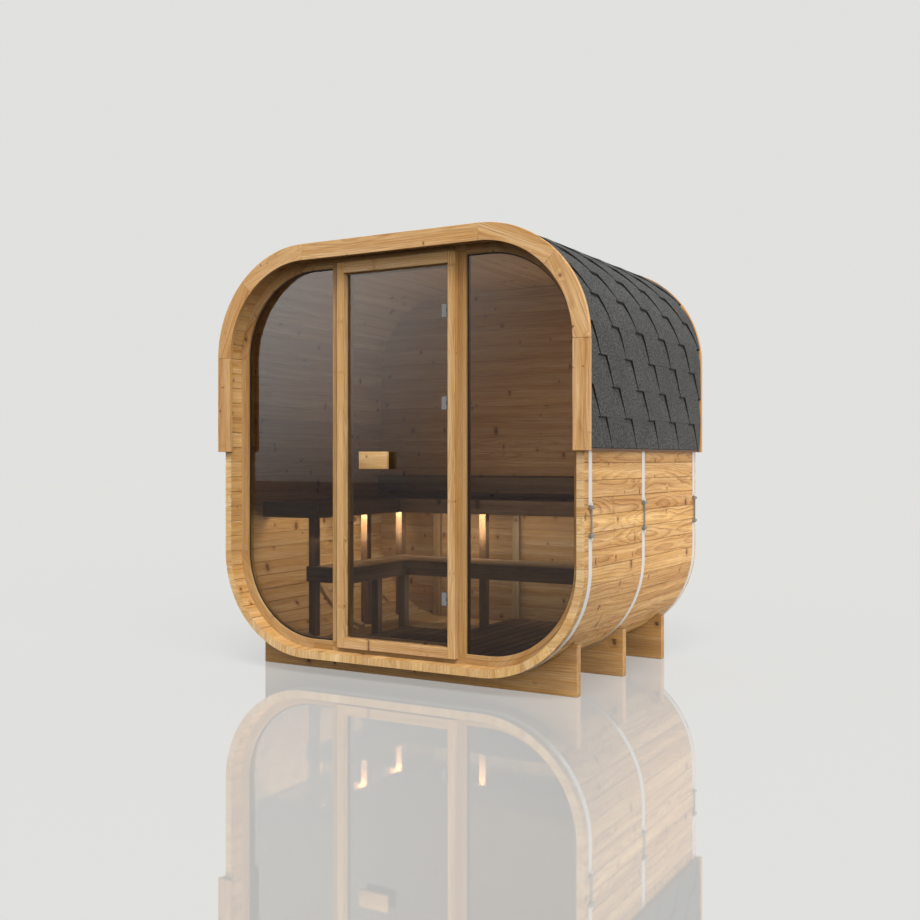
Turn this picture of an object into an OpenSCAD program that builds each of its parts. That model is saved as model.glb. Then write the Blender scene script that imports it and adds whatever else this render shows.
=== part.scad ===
// Cube sauna: a stave-built garden cabin with a rounded square section, lying
// along Y. The glazed front faces -Y. The origin is on the ground, under the
// middle of the cabin, and +Z is up. All sizes are in millimetres.

/* [Cabin shell] */
// Width of the cabin outside the staves
cabin_w = 2130; // [1900:10:2400]
// Height of the cabin outside the staves
cabin_h = 2130; // [1980:10:2400]
// Outer radius of the four rounded corners
corner_r = 540; // [420:10:640]
// Thickness of the wall staves
wall_t = 40; // [28:1:50]
// Length of the staves from front to back
shell_len = 1590; // [1400:10:2400]
// Height of the flat underside above the ground
ground_gap = 85; // [60:5:140]

/* [Cradles] */
// Length of each cradle across the cabin
cradle_w = 1890; // [1760:10:1960]
// Height of a cradle at its two ends
cradle_h = 246; // [180:1:300]
// Thickness of a cradle plank
cradle_t = 44; // [30:1:60]
// Distance between neighbouring cradles
cradle_pitch = 584; // [450:1:640]

/* [End trims] */
// Thickness of the trim boards
trim_t = 22; // [15:1:30]
// Width of the trim boards seen from the front
trim_w = 85; // [70:1:110]
// How far the trim stands out past the staves
trim_over = 35; // [30:1:50]
// Height above ground of the lower ends of the trims and edge battens
roof_end_z = 1166; // [900:1:1400]

/* [Roof covering] */
// Thickness of the roof boarding and shingles together
roof_t = 25; // [12:1:28]
// Height of the edge batten below the shingles
eaves_h = 10; // [8:1:30]
// How far the edge batten stands back behind the shingles
eaves_back = 2; // [0:0.5:5]

/* [Steel bands] */
// Width of a tension band
strap_w = 38; // [25:1:50]
// Thickness of a tension band
strap_t = 1.5; // [1:0.1:3]
// Distance from the front stave ends to the middle of the front band
strap_front_in = 63; // [40:1:100]
// Distance from the back stave ends to the middle of the back band
strap_back_in = 36; // [30:1:80]
// Gap between the middle band and the middle cradle
strap_by = 9; // [1:1:20]
// Height above ground of the upper barrel of each tensioner
tensioner_z = 905; // [800:1:1000]
// Distance between the two barrels of a tensioner
tensioner_len = 128; // [100:1:160]
// Radius of a tensioner barrel
barrel_r = 8; // [6:0.5:10]
// Radius of the tensioner's threaded rod
rod_r = 4; // [3:0.5:5]

/* [End walls] */
// Depth of the end walls behind the stave ends
end_recess = 84; // [60:1:120]
// Thickness of the back wall boards
back_wall_t = 44; // [28:1:60]
// Width of the glazing frame seen from the front
ring_w = 48; // [40:1:60]
// Depth of the glazing frame from front to back
ring_d = 50; // [40:1:70]
// Depth of the groove that holds the fixed glass
groove_d = 12; // [8:1:16]
// Distance from the glazing frame's front to the fixed glass
glass_in = 15; // [12:1:25]
// Thickness of the tempered glass
glass_t = 8; // [6:1:10]
// Width of the two posts beside the door frame
mullion_w = 47; // [40:1:70]

/* [Door] */
// Width of the door frame outside
door_frame_w = 710; // [640:10:900]
// How far the door frame stands in front of the glazing frame
door_frame_proud = 30; // [25:1:40]
// Width of the door jambs seen from the front
jamb_w = 42; // [36:1:60]
// Height of the door sill
sill_h = 52; // [40:1:70]
// Height of the door head
head_h = 57; // [40:1:70]
// Glazing frame left below the sill
sill_reveal = 22; // [15:1:35]
// Glazing frame left above the door head
head_reveal = 28; // [15:1:35]
// Depth from the door frame's front to the door glass
door_in = 33; // [31:1:36]
// Gap all round the door glass
door_gap = 6; // [5:0.5:9]
// Gap between the door glass and the stop behind it
stop_gap = 5; // [5:0.5:8]
// Width of the door stop
stop_w = 12; // [10:1:16]

/* [Door handle] */
// Length of the handle block
handle_w = 172; // [120:1:220]
// Height of the handle block
handle_h = 88; // [60:1:110]
// Thickness of the handle block
handle_t = 18; // [14:1:26]
// Gap for the fingers behind the handle block
handle_gap = 25; // [22:1:35]
// Middle of the handle above the floor
handle_up = 996; // [850:1:1100]
// Middle of the handle from the door's free edge
handle_in = 185; // [130:1:250]
// Radius of a handle stand-off
standoff_r = 8; // [5:0.5:12]

/* [Door hinges] */
// Height of a hinge plate
hinge_h = 64; // [50:1:80]
// Width of a hinge plate on the glass
hinge_w = 36; // [30:1:50]
// Thickness of a hinge plate
hinge_t = 6; // [5:0.5:6]
// Thickness of the hinge leaf on the jamb
leaf_t = 1.5; // [1:0.1:2.5]
// Length of each of the three barrels of a hinge
knuckle_h = 16; // [12:1:16]
// Radius of the hinge barrel
knuckle_r = 5; // [4:0.5:5]
// Radius of the hinge pin
pin_r = 2.5; // [2:0.1:3]
// Lowest hinge above the bottom of the door glass
hinge_low = 231; // [150:1:300]
// Middle hinge below the top of the door glass
hinge_mid = 680; // [500:1:800]
// Highest hinge below the top of the door glass
hinge_top = 223; // [150:1:300]

/* [Benches] */
// Height of the upper bench above the floor
bench_up = 760; // [700:5:850]
// Depth of the upper bench along the left wall
bench_left_w = 375; // [320:5:450]
// Depth of the upper bench along the back wall
bench_back_w = 354; // [320:1:420]
// Height of the lower bench above the floor
step_up = 410; // [350:5:480]
// How far the lower bench stands out on the left
step_left_w = 215; // [180:5:260]
// How far the lower bench stands out at the back
step_back_w = 260; // [200:5:300]
// Gap between the glazing frame and the front ends of the benches
bench_end_gap = 134; // [80:1:200]
// Height of the bench fascia boards
fascia_h = 85; // [70:1:110]
// Thickness of the bench fascia boards
fascia_t = 22; // [18:1:28]
// Thickness of the bench planks
plank_t = 28; // [20:1:35]
// Gap between bench planks
plank_gap = 8; // [5:1:12]
// Width of a bench plank with its gap, rounded to fill the bench
plank_w = 90; // [70:5:140]
// Section of the posts, legs and bearers
post_w = 45; // [35:1:60]
// Distance from the front post to the middle post of the left bench
post_pitch = 502; // [400:1:560]
// Distance from the front leg to the middle leg of the lower bench
leg_pitch = 298; // [250:1:400]
// Gap between the back bench's fascia and its posts, where the lamps sit
lamp_gap = 40; // [36:1:50]
// Middle of the back bench's free post, left of the cabin's middle line
back_post_x = 102; // [50:1:250]
// Middle of the back lower bench's free bearer, right of the cabin's middle line
back_bearer_x = 150; // [50:1:250]
// Radius of a bench lamp
lamp_r = 15; // [10:1:18]
// Thickness of a bench lamp
lamp_t = 10; // [6:1:14]

/* [Backrest and battens] */
// Lower edge of the backrest board above the upper bench
backrest_up = 43; // [30:1:120]
// Height of the backrest board
backrest_h = 88; // [70:1:120]
// Thickness of the backrest board
backrest_t = 20; // [16:1:28]
// Distance between the backrest board and the back wall
backrest_gap = 24; // [18:1:40]
// Distance from one backrest spacer to the next
spacer_pitch = 333; // [250:1:500]
// Width of the wall battens under the benches
batten_w = 48; // [35:1:60]
// Thickness of the wall battens
batten_t = 20; // [15:1:25]
// Middle of the left batten, right of the left bench's front
batten_in = 66; // [30:1:120]
// Middle of the right batten, left of the cabin's middle line
batten_mid = 20; // [0:1:40]
// Distance from the front bench post to the curved side batten
side_batten_in = 403; // [300:1:440]
// How far the side batten follows the lower corner, in degrees
side_batten_turn = 75; // [30:1:85]

/* [Duckboards] */
// Height of the duckboards
duckboard_h = 25; // [20:1:40]
// Thickness of a duckboard slat
slat_t = 13; // [10:1:18]
// Width of a duckboard slat
slat_w = 60; // [40:1:90]
// Gap between duckboard slats
slat_gap = 9; // [6:1:15]
// Longest distance between the cross bearers of a duckboard
duckboard_span = 450; // [300:10:600]
// Distance from the cabin's middle line to the long duckboard's left edge
duckboard_x = 40; // [0:5:80]
// Distance of the long duckboard from where the right corner starts to curve
duckboard_in = 5; // [2:1:40]

/* [Hidden] */
$fn = 96;

// Clearance between curved pieces, and the saw kerf between like pieces
seat = 0.2;
kerf = 0.4;
// Clearance between a curved batten and the corner staves behind it
curve_seat = 0.6;
// Clearance of a hinge pin in its barrel, and of a barrel to the parts beside it
pin_clear = 0.05;
barrel_clear = 0.5;
// How far a cutting solid reaches past what it cuts
past = 1;
// How far joined pieces of one part run into each other
bite = 1;

spruce = [0.80, 0.60, 0.36];
spruce_dark = [0.62, 0.44, 0.26];
bitumen = [0.16, 0.16, 0.17];
steel = [0.78, 0.79, 0.80];
tinted = [0.35, 0.32, 0.30, 0.4];

// Heights
mid_z = ground_gap + cabin_h / 2;
floor_z = ground_gap + wall_t;
ceiling_z = ground_gap + cabin_h - wall_t;
// Half sizes of the shell
side_x = cabin_w / 2;
inner_x = side_x - wall_t;
flat_x = side_x - corner_r;
flat_z = cabin_h / 2 - corner_r;
// Planes along Y
shell_y0 = -shell_len / 2;
shell_y1 = shell_len / 2;
ring_y0 = shell_y0 + end_recess;
ring_y1 = ring_y0 + ring_d;
back_y1 = shell_y1 - end_recess;
back_y0 = back_y1 - back_wall_t;
roof_in = seat + strap_t + seat;

// Door frame
jamb_x1 = door_frame_w / 2;
jamb_x0 = jamb_x1 - jamb_w;
frame_y0 = ring_y0 - door_frame_proud;
frame_z0 = floor_z + sill_reveal;
frame_z1 = ceiling_z - head_reveal;
door_y0 = frame_y0 + door_in;
door_y1 = door_y0 + glass_t;
stop_y0 = door_y1 + stop_gap;
door_x = jamb_x0 - door_gap;
door_z0 = frame_z0 + sill_h + door_gap;
door_z1 = frame_z1 - head_h - door_gap;
hinge_heights = [door_z0 + hinge_low, door_z1 - hinge_mid, door_z1 - hinge_top];
// The hinge axis stands in front of the glass, near its right edge
axis_x = jamb_x0 - leaf_t - barrel_clear - knuckle_r;
axis_y = door_y0 - hinge_t - knuckle_r;
handle_z = floor_z + handle_up;
handle_x = -door_x + handle_in;

// Benches
bench_z = floor_z + bench_up;
step_z = floor_z + step_up;
bench_y0 = ring_y1 + bench_end_gap;
bench_x = -inner_x + bench_left_w;
bench_y = back_y0 - bench_back_w;
step_x = bench_x + step_left_w;
step_y = bench_y - step_back_w;
post_x1 = bench_x - fascia_t;
post_y0 = bench_y0 + fascia_t;
back_post_y = bench_y + fascia_t + lamp_gap;
left_post_ys = [post_y0, post_y0 + post_pitch, back_post_y];
leg_x1 = step_x - fascia_t;
left_leg_ys = [post_y0, post_y0 + leg_pitch, step_y + fascia_t];
bearer_h = fascia_h - plank_t;
ledger_t = fascia_t;
side_batten_y = post_y0 + side_batten_in;
batten_x = bench_x + batten_in;

// --- Shared shapes ---

// Extrudes an outline drawn in X and Z along +Y, from y0
module along_y(y0, len) {
    translate([0, y0 + len, 0]) rotate([90, 0, 0]) linear_extrude(len) children();
}

// Extrudes an outline drawn in X and Y upwards, from z0
module upright(z0, height) {
    translate([0, 0, z0]) linear_extrude(height) children();
}

// A box between two corners
module block(low, high) {
    translate(low) cube(high - low);
}

// The cabin's rounded square outline in X and Z, grown outwards
module outline(grow) {
    w = cabin_w + 2 * grow;
    h = cabin_h + 2 * grow;
    r = corner_r + grow;
    translate([0, mid_z]) {
        square([w - 2 * r, h], center = true);
        square([w, h - 2 * r], center = true);
        for (sx = [-1, 1], sz = [-1, 1])
            translate([sx * flat_x, sz * flat_z]) circle(r);
    }
}

// The band between two outlines
module outline_band(outer, inner) {
    difference() {
        outline(outer);
        outline(inner);
    }
}

// A sector of a ring, from angle a0 to a1, at most a quarter turn
module ring_sector(r_out, r_in, a0, a1) {
    reach = 2 * r_out;
    mid = (a0 + a1) / 2;
    intersection() {
        difference() {
            circle(r_out);
            circle(r_in);
        }
        polygon([[0, 0], reach * [cos(a0), sin(a0)], reach * [cos(mid), sin(mid)],
            reach * [cos(a1), sin(a1)]]);
    }
}

// The room inside the staves, used to cut ends to the curved wall
module room(y0, y1) {
    along_y(y0, y1 - y0) outline(-wall_t - seat);
}

// --- Cabin shell ---

module shell_corner(sx, sz) {
    start = sx > 0 ? (sz > 0 ? 0 : 270) : (sz > 0 ? 90 : 180);
    color(spruce) along_y(shell_y0, shell_len)
        translate([sx * flat_x, mid_z + sz * flat_z])
            ring_sector(corner_r, corner_r - wall_t, start, start + 90);
}

module floor_shell() {
    color(spruce) block([-flat_x, shell_y0, ground_gap], [flat_x, shell_y1, floor_z]);
}

module ceiling_shell() {
    color(spruce)
        block([-flat_x, shell_y0, ceiling_z], [flat_x, shell_y1, ceiling_z + wall_t]);
}

module wall_left() {
    color(spruce)
        block([-side_x, shell_y0, mid_z - flat_z], [-inner_x, shell_y1, mid_z + flat_z]);
}

module wall_right() {
    mirror([1, 0, 0]) wall_left();
}

module corner_lower_left() {
    shell_corner(-1, -1);
}

module corner_lower_right() {
    shell_corner(1, -1);
}

module corner_upper_left() {
    shell_corner(-1, 1);
}

module corner_upper_right() {
    shell_corner(1, 1);
}

module back_wall() {
    color(spruce) along_y(back_y0, back_wall_t) outline(-wall_t - seat);
}

// --- Cradles: planks cut to the curve of the cabin's underside ---

module cradle(y_mid) {
    color(spruce) along_y(y_mid - cradle_t / 2, cradle_t) difference() {
        translate([-cradle_w / 2, 0]) square([cradle_w, cradle_h]);
        outline(seat);
    }
}

module cradle_front() {
    cradle(-cradle_pitch);
}

module cradle_middle() {
    cradle(0);
}

module cradle_back() {
    cradle(cradle_pitch);
}

// --- Steel bands that pull the staves together ---

// One tensioner: two barrels on the band ends, drawn together by a threaded rod
module tensioner(y_mid) {
    // hex nuts outside the barrels, with the rod's ends past them
    nut_h = 1.6 * rod_r;
    nut_r = 1.8 * rod_r;
    rod_past = 3 * barrel_r;
    x = side_x + seat + barrel_r + seat;
    low = tensioner_z - tensioner_len;
    for (z = [low, tensioner_z])
        translate([x, y_mid + strap_w / 2, z]) rotate([90, 0, 0])
            cylinder(h = strap_w, r = barrel_r);
    translate([x, y_mid, low - rod_past])
        cylinder(h = tensioner_len + 2 * rod_past, r = rod_r);
    for (z = [low - barrel_r - nut_h + bite, tensioner_z + barrel_r - bite])
        translate([x, y_mid, z]) cylinder(h = nut_h, r = nut_r, $fn = 6);
}

module strap(y_mid) {
    color(steel) union() {
        along_y(y_mid - strap_w / 2, strap_w) difference() {
            outline_band(seat + strap_t, seat);
            translate([-cabin_w, tensioner_z - tensioner_len])
                square([2 * cabin_w, tensioner_len]);
        }
        tensioner(y_mid);
        mirror([1, 0, 0]) tensioner(y_mid);
    }
}

module strap_front() {
    strap(shell_y0 + strap_front_in);
}

module strap_middle() {
    strap(-cradle_t / 2 - strap_w / 2 - strap_by);
}

module strap_back() {
    strap(shell_y1 - strap_back_in);
}

// --- Roof covering over the top, the upper corners and the upper sides ---

module roof_side() {
    color(bitumen) {
        along_y(shell_y0, shell_len) union() {
            translate([side_x + roof_in, roof_end_z + eaves_h])
                square([roof_t, mid_z + flat_z - roof_end_z - eaves_h]);
            translate([flat_x, mid_z + flat_z])
                ring_sector(corner_r + roof_in + roof_t, corner_r + roof_in, 0, 90);
        }
    }
}

module roof_right() {
    roof_side();
}

module roof_left() {
    mirror([1, 0, 0]) roof_side();
}

module roof_top() {
    z = ground_gap + cabin_h + roof_in;
    color(bitumen) block([-flat_x, shell_y0, z], [flat_x, shell_y1, z + roof_t]);
}

module eaves_battens() {
    color(spruce_dark) for (side = [0, 1])
        mirror([side, 0, 0])
            block([side_x + roof_in, shell_y0, roof_end_z],
                [side_x + roof_in + roof_t - eaves_back, shell_y1, roof_end_z + eaves_h]);
}

// --- Trims: seven boards over each end of the staves ---

// Saw joints between the boards, at the tangents and half way round each corner
module trim_joints() {
    reach = 2 * corner_r;
    for (sx = [-1, 1]) {
        translate([sx * flat_x - kerf / 2, mid_z + flat_z]) square([kerf, reach]);
        translate([sx > 0 ? flat_x : -flat_x - reach, mid_z + flat_z - kerf / 2])
            square([reach, kerf]);
        translate([sx * flat_x, mid_z + flat_z]) rotate(sx > 0 ? 45 : 135)
            translate([0, -kerf / 2]) square([reach, kerf]);
    }
}

module trim(y0) {
    color(spruce) along_y(y0, trim_t) difference() {
        outline_band(trim_over, trim_over - trim_w);
        translate([-cabin_w, -cabin_h]) square([2 * cabin_w, cabin_h + roof_end_z]);
        trim_joints();
    }
}

module front_trim() {
    trim(shell_y0 - trim_t);
}

module back_trim() {
    trim(shell_y1);
}

// --- Glazed front ---

// Saw joints of the glazing frame, where its straight rails meet the corners
module frame_joints() {
    for (sx = [-1, 1])
        translate([sx * flat_x - kerf / 2, ground_gap]) square([kerf, cabin_h]);
    for (sz = [-1, 1])
        translate([-side_x, mid_z + sz * flat_z - kerf / 2]) square([cabin_w, kerf]);
}

// The frame that fills the end of the shell and holds the fixed glass in a groove
module glazing_frame() {
    color(spruce) difference() {
        along_y(ring_y0, ring_d) difference() {
            outline_band(-wall_t - seat, -wall_t - ring_w);
            frame_joints();
        }
        along_y(ring_y0 + glass_in - seat, glass_t + 2 * seat)
            outline(-wall_t - ring_w + groove_d);
        block([-jamb_x1, ring_y0 - past, frame_z0], [jamb_x1, ring_y1 + past, frame_z1]);
    }
}

module mullion() {
    z0 = floor_z + ring_w;
    z1 = ceiling_z - ring_w;
    x1 = jamb_x1 + mullion_w;
    glass_y0 = ring_y0 + glass_in - seat;
    color(spruce) difference() {
        block([jamb_x1, ring_y0, z0], [x1, ring_y1, z1]);
        block([x1 - groove_d, glass_y0, z0 - past],
            [x1 + past, glass_y0 + glass_t + 2 * seat, z1 + past]);
    }
}

module mullion_right() {
    mullion();
}

module mullion_left() {
    mirror([1, 0, 0]) mullion();
}

module window() {
    x0 = jamb_x1 + mullion_w - groove_d + seat;
    color(tinted) along_y(ring_y0 + glass_in, glass_t) intersection() {
        outline(-wall_t - ring_w + groove_d - seat);
        translate([x0, 0]) square([cabin_w, 2 * cabin_h]);
    }
}

module window_right() {
    window();
}

module window_left() {
    mirror([1, 0, 0]) window();
}

// --- Door frame, with a stop behind the door glass ---

module jamb() {
    color(spruce) upright(frame_z0, frame_z1 - frame_z0) polygon([
        [jamb_x0, frame_y0], [jamb_x1, frame_y0], [jamb_x1, ring_y1],
        [jamb_x0 - stop_w, ring_y1], [jamb_x0 - stop_w, stop_y0], [jamb_x0, stop_y0]]);
}

module jamb_right() {
    jamb();
}

module jamb_left() {
    mirror([1, 0, 0]) jamb();
}

module door_sill() {
    z1 = frame_z0 + sill_h;
    color(spruce) union() {
        block([-jamb_x0, frame_y0, frame_z0], [jamb_x0, stop_y0, z1]);
        block([-jamb_x0 + stop_w, stop_y0, frame_z0],
            [jamb_x0 - stop_w, ring_y1, z1 + stop_w]);
    }
}

module door_head() {
    z0 = frame_z1 - head_h;
    color(spruce) union() {
        block([-jamb_x0, frame_y0, z0], [jamb_x0, stop_y0, frame_z1]);
        block([-jamb_x0 + stop_w, stop_y0, z0 - stop_w],
            [jamb_x0 - stop_w, ring_y1, frame_z1]);
    }
}

// --- Door: a frameless glass leaf with a block handle and three hinges ---

module door_glass() {
    color(tinted) block([-door_x, door_y0, door_z0], [door_x, door_y1, door_z1]);
}

module handle_half(y_glass, y_out) {
    y_block = y_glass + y_out * handle_gap;
    y_far = y_block + y_out * handle_t;
    block([handle_x - handle_w / 2, min(y_block, y_far), handle_z - handle_h / 2],
        [handle_x + handle_w / 2, max(y_block, y_far), handle_z + handle_h / 2]);
    for (side = [-1, 1])
        translate([handle_x + side * handle_w / 4, min(y_glass, y_block), handle_z])
            rotate([-90, 0, 0]) cylinder(h = handle_gap, r = standoff_r);
}

module door_handle() {
    color(spruce) {
        handle_half(door_y0, -1);
        handle_half(door_y1, 1);
    }
}

// Glass side of a hinge: two clamp plates and the middle barrel
module clamp(z) {
    x1 = axis_x - knuckle_r - barrel_clear;
    x0 = x1 - hinge_w;
    color(steel) {
        difference() {
            union() {
                block([x0, door_y0 - hinge_t, z - hinge_h / 2],
                    [x1, door_y0, z + hinge_h / 2]);
                translate([axis_x, axis_y, z - knuckle_h / 2])
                    cylinder(h = knuckle_h, r = knuckle_r);
                block([x1 - hinge_t, axis_y, z - knuckle_h / 2],
                    [axis_x, door_y0 - hinge_t + bite, z + knuckle_h / 2]);
            }
            translate([axis_x, axis_y, z - hinge_h])
                cylinder(h = 2 * hinge_h, r = pin_r + pin_clear);
        }
        block([x0, door_y1, z - hinge_h / 2],
            [x1 - stop_gap, door_y1 + stop_gap - barrel_clear, z + hinge_h / 2]);
    }
}

module door_clamps() {
    for (z = hinge_heights)
        clamp(z);
}

// Jamb side of a hinge: a leaf on the jamb, two barrels and the pin
module jamb_hinge(z) {
    color(steel) union() {
        block([jamb_x0 - leaf_t, axis_y - 2 * knuckle_r, z - hinge_h / 2],
            [jamb_x0, axis_y + knuckle_r, z + hinge_h / 2]);
        for (side = [0, 1])
            translate([0, 0, z]) mirror([0, 0, side]) {
                translate([axis_x, axis_y, knuckle_h / 2 + kerf])
                    cylinder(h = knuckle_h, r = knuckle_r);
                block([axis_x, axis_y - knuckle_r + bite, knuckle_h / 2 + kerf],
                    [jamb_x0 - leaf_t / 2, axis_y + knuckle_r - bite,
                        1.5 * knuckle_h + kerf]);
            }
        translate([axis_x, axis_y, z - knuckle_h])
            cylinder(h = 2 * knuckle_h, r = pin_r);
    }
}

module jamb_hinges() {
    for (z = hinge_heights)
        jamb_hinge(z);
}

// --- Benches: an upper and a lower L along the left and back walls ---

// Planks side by side, filling a depth, drawn along the first axis
module plank_rows(depth, len) {
    n = max(1, round(depth / plank_w));
    w = (depth - (n - 1) * plank_gap) / n;
    for (i = [0 : n - 1])
        translate([0, i * (w + plank_gap)]) square([len, w]);
}

// The planks of one L, mitred at the corner
module bench_planks(x_front, y_front, x_rear, y_rear, y_start, x_end) {
    // left wing, along Y
    intersection() {
        translate([x_rear, y_start]) mirror([1, -1])
            plank_rows(x_front - x_rear, y_rear - y_start);
        polygon([[x_rear, y_start], [x_front, y_start], [x_front, y_front - kerf],
            [x_rear, y_rear - kerf]]);
    }
    // back wing, along X
    intersection() {
        translate([x_rear, y_front]) plank_rows(y_rear - y_front, x_end - x_rear);
        polygon([[x_front, y_front], [x_end, y_front], [x_end, y_rear],
            [x_rear, y_rear]]);
    }
}

module upper_bench_top() {
    color(spruce_dark) upright(bench_z - plank_t, plank_t)
        bench_planks(post_x1, bench_y + fascia_t, -inner_x, back_y0, post_y0, inner_x);
}

// End, left and back fascia boards of one L
module fascia_boards(x0, x_front, y_front, x_end, z_top) {
    z0 = z_top - fascia_h;
    y0 = bench_y0;
    block([x0, y0, z0], [x_front, y0 + fascia_t - kerf, z_top]);
    block([x_front - fascia_t, y0 + fascia_t, z0],
        [x_front, y_front + fascia_t, z_top]);
    block([x_front + kerf, y_front, z0], [x_end, y_front + fascia_t, z_top]);
}

module upper_bench_fascia() {
    color(spruce_dark) fascia_boards(-inner_x, bench_x, bench_y, inner_x, bench_z);
}

module upper_bench_bearers() {
    z0 = bench_z - fascia_h;
    z1 = z0 + bearer_h;
    wall_x = -inner_x + ledger_t;
    color(spruce_dark) {
        // ledgers on the left and back walls
        block([-inner_x, post_y0, z0], [wall_x, back_y0, z1]);
        block([wall_x + kerf, back_y0 - ledger_t, z0], [inner_x, back_y0, z1]);
        // cross bearers over the left posts
        for (y = left_post_ys)
            block([wall_x + kerf, y, z0], [post_x1, y + post_w, z1]);
        // cross bearers of the back bench; the middle one starts over its post
        for (p = [[batten_x - post_w / 2, bench_y + fascia_t],
                [-back_post_x - post_w / 2, back_post_y],
                [inner_x - post_w, bench_y + fascia_t]])
            block([p[0], p[1], z0], [p[0] + post_w, back_y0 - ledger_t - kerf, z1]);
    }
}

module upper_bench_posts() {
    z1 = bench_z - fascia_h;
    color(spruce_dark) intersection() {
        union() {
            for (y = left_post_ys)
                block([post_x1 - post_w, y, ground_gap], [post_x1, y + post_w, z1]);
            block([-back_post_x - post_w / 2, back_post_y, ground_gap],
                [-back_post_x + post_w / 2, back_post_y + post_w, z1]);
        }
        room(ring_y1, back_y0);
    }
}

module lower_bench_top() {
    color(spruce_dark) intersection() {
        upright(step_z - plank_t, plank_t)
            bench_planks(leg_x1, step_y + fascia_t, post_x1, back_post_y, post_y0,
                inner_x);
        room(ring_y1, back_y0);
    }
}

module lower_bench_fascia() {
    color(spruce_dark) intersection() {
        fascia_boards(post_x1 - post_w, step_x, step_y, inner_x, step_z);
        room(ring_y1, back_y0);
    }
}

module lower_bench_frame() {
    z0 = step_z - fascia_h;
    z1 = z0 + bearer_h;
    rail_x = post_x1 + ledger_t;
    rail_y = back_post_y - ledger_t;
    back_y = step_y + fascia_t;
    color(spruce_dark) intersection() {
        union() {
            // rails along the upper posts
            block([post_x1, post_y0, z0], [rail_x, back_post_y, z1]);
            block([rail_x + kerf, rail_y, z0], [inner_x, back_post_y, z1]);
            // cross bearers of the left wing
            for (y = left_leg_ys)
                block([rail_x + kerf, y, z0], [leg_x1, y + post_w, z1]);
            // cross bearers of the back wing
            block([leg_x1 - post_w, back_y + post_w + kerf, z0],
                [leg_x1, rail_y - kerf, z1]);
            for (x = [back_bearer_x - post_w / 2, inner_x - 2 * post_w])
                block([x, back_y, z0], [x + post_w, rail_y - kerf, z1]);
            // legs
            for (y = left_leg_ys)
                block([leg_x1 - post_w, y, ground_gap], [leg_x1, y + post_w, z0 - kerf]);
        }
        room(ring_y1, back_y0);
    }
}

// --- Backrest, battens, lamps and duckboards ---

module backrest() {
    z0 = bench_z + backrest_up;
    y1 = back_y0 - backrest_gap;
    x1 = inner_x - plank_gap;
    color(spruce_dark) {
        block([-x1, y1 - backrest_t, z0], [x1, y1, z0 + backrest_h]);
        // spacers between the board and the wall, the last one at the right end
        for (x = [each [-x1 : spacer_pitch : x1 - 2 * batten_w], x1 - batten_w])
            block([x, y1 + kerf, z0], [x + batten_w, back_y0, z0 + backrest_h]);
    }
}

module wall_battens() {
    z1 = bench_z - fascia_h;
    color(spruce_dark) {
        // two upright battens on the back wall
        intersection() {
            for (x = [batten_x, -batten_mid])
                block([x - batten_w / 2, back_y0 - batten_t, ground_gap],
                    [x + batten_w / 2, back_y0, z1]);
            room(ring_y1, back_y1);
        }
        // one that follows the left wall round the lower corner
        along_y(side_batten_y, batten_w) {
            translate([-inner_x, mid_z - flat_z])
                square([batten_t, z1 - mid_z + flat_z]);
            translate([-flat_x, mid_z - flat_z])
                ring_sector(corner_r - wall_t - curve_seat, corner_r - wall_t - batten_t,
                    180, 180 + side_batten_turn);
        }
    }
}

module bench_lamps() {
    z = bench_z - plank_t - lamp_t;
    x = post_x1 - post_w / 2;
    y_gap = lamp_gap / 2;
    color(steel) for (p = [[x, post_y0 + post_w + y_gap],
            [x, post_y0 + post_pitch - y_gap], [x, back_post_y - y_gap],
            [-back_post_x, back_post_y - y_gap]])
        translate([p[0], p[1], z]) cylinder(h = lamp_t, r = lamp_r);
}

// One duckboard: slats along Y on cross bearers
module duckboard(x0, x1, y0, y1) {
    n = floor((x1 - x0 + slat_gap) / (slat_w + slat_gap));
    pitch = (x1 - x0 + slat_gap) / n;
    bearers = ceil((y1 - y0) / duckboard_span);
    step = (y1 - y0 - post_w) / bearers;
    for (i = [0 : n - 1])
        block([x0 + i * pitch, y0, floor_z + duckboard_h - slat_t],
            [x0 + (i + 1) * pitch - slat_gap, y1, floor_z + duckboard_h]);
    for (i = [0 : bearers])
        block([x0, y0 + i * step, floor_z],
            [x1, y0 + i * step + post_w, floor_z + duckboard_h - slat_t - kerf]);
}

module duckboards() {
    x = -duckboard_x;
    y0 = ring_y1 + plank_gap;
    color(spruce_dark) {
        duckboard(x, flat_x - duckboard_in, y0, back_y0 - batten_t - plank_gap);
        duckboard(step_x, x - plank_gap, y0, step_y);
    }
}

floor_shell();
ceiling_shell();
wall_left();
wall_right();
corner_lower_left();
corner_lower_right();
corner_upper_left();
corner_upper_right();
back_wall();
cradle_front();
cradle_middle();
cradle_back();
strap_front();
strap_middle();
strap_back();
roof_left();
roof_top();
roof_right();
eaves_battens();
front_trim();
back_trim();
glazing_frame();
mullion_left();
mullion_right();
jamb_left();
jamb_right();
door_head();
door_sill();
window_left();
window_right();
jamb_hinges();
door_glass();
door_handle();
door_clamps();
upper_bench_top();
upper_bench_fascia();
upper_bench_bearers();
upper_bench_posts();
lower_bench_top();
lower_bench_fascia();
lower_bench_frame();
backrest();
wall_battens();
bench_lamps();
duckboards();
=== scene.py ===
import math
import random

import bmesh
import bpy
import numpy as np
from mathutils import Matrix, Vector


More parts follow.
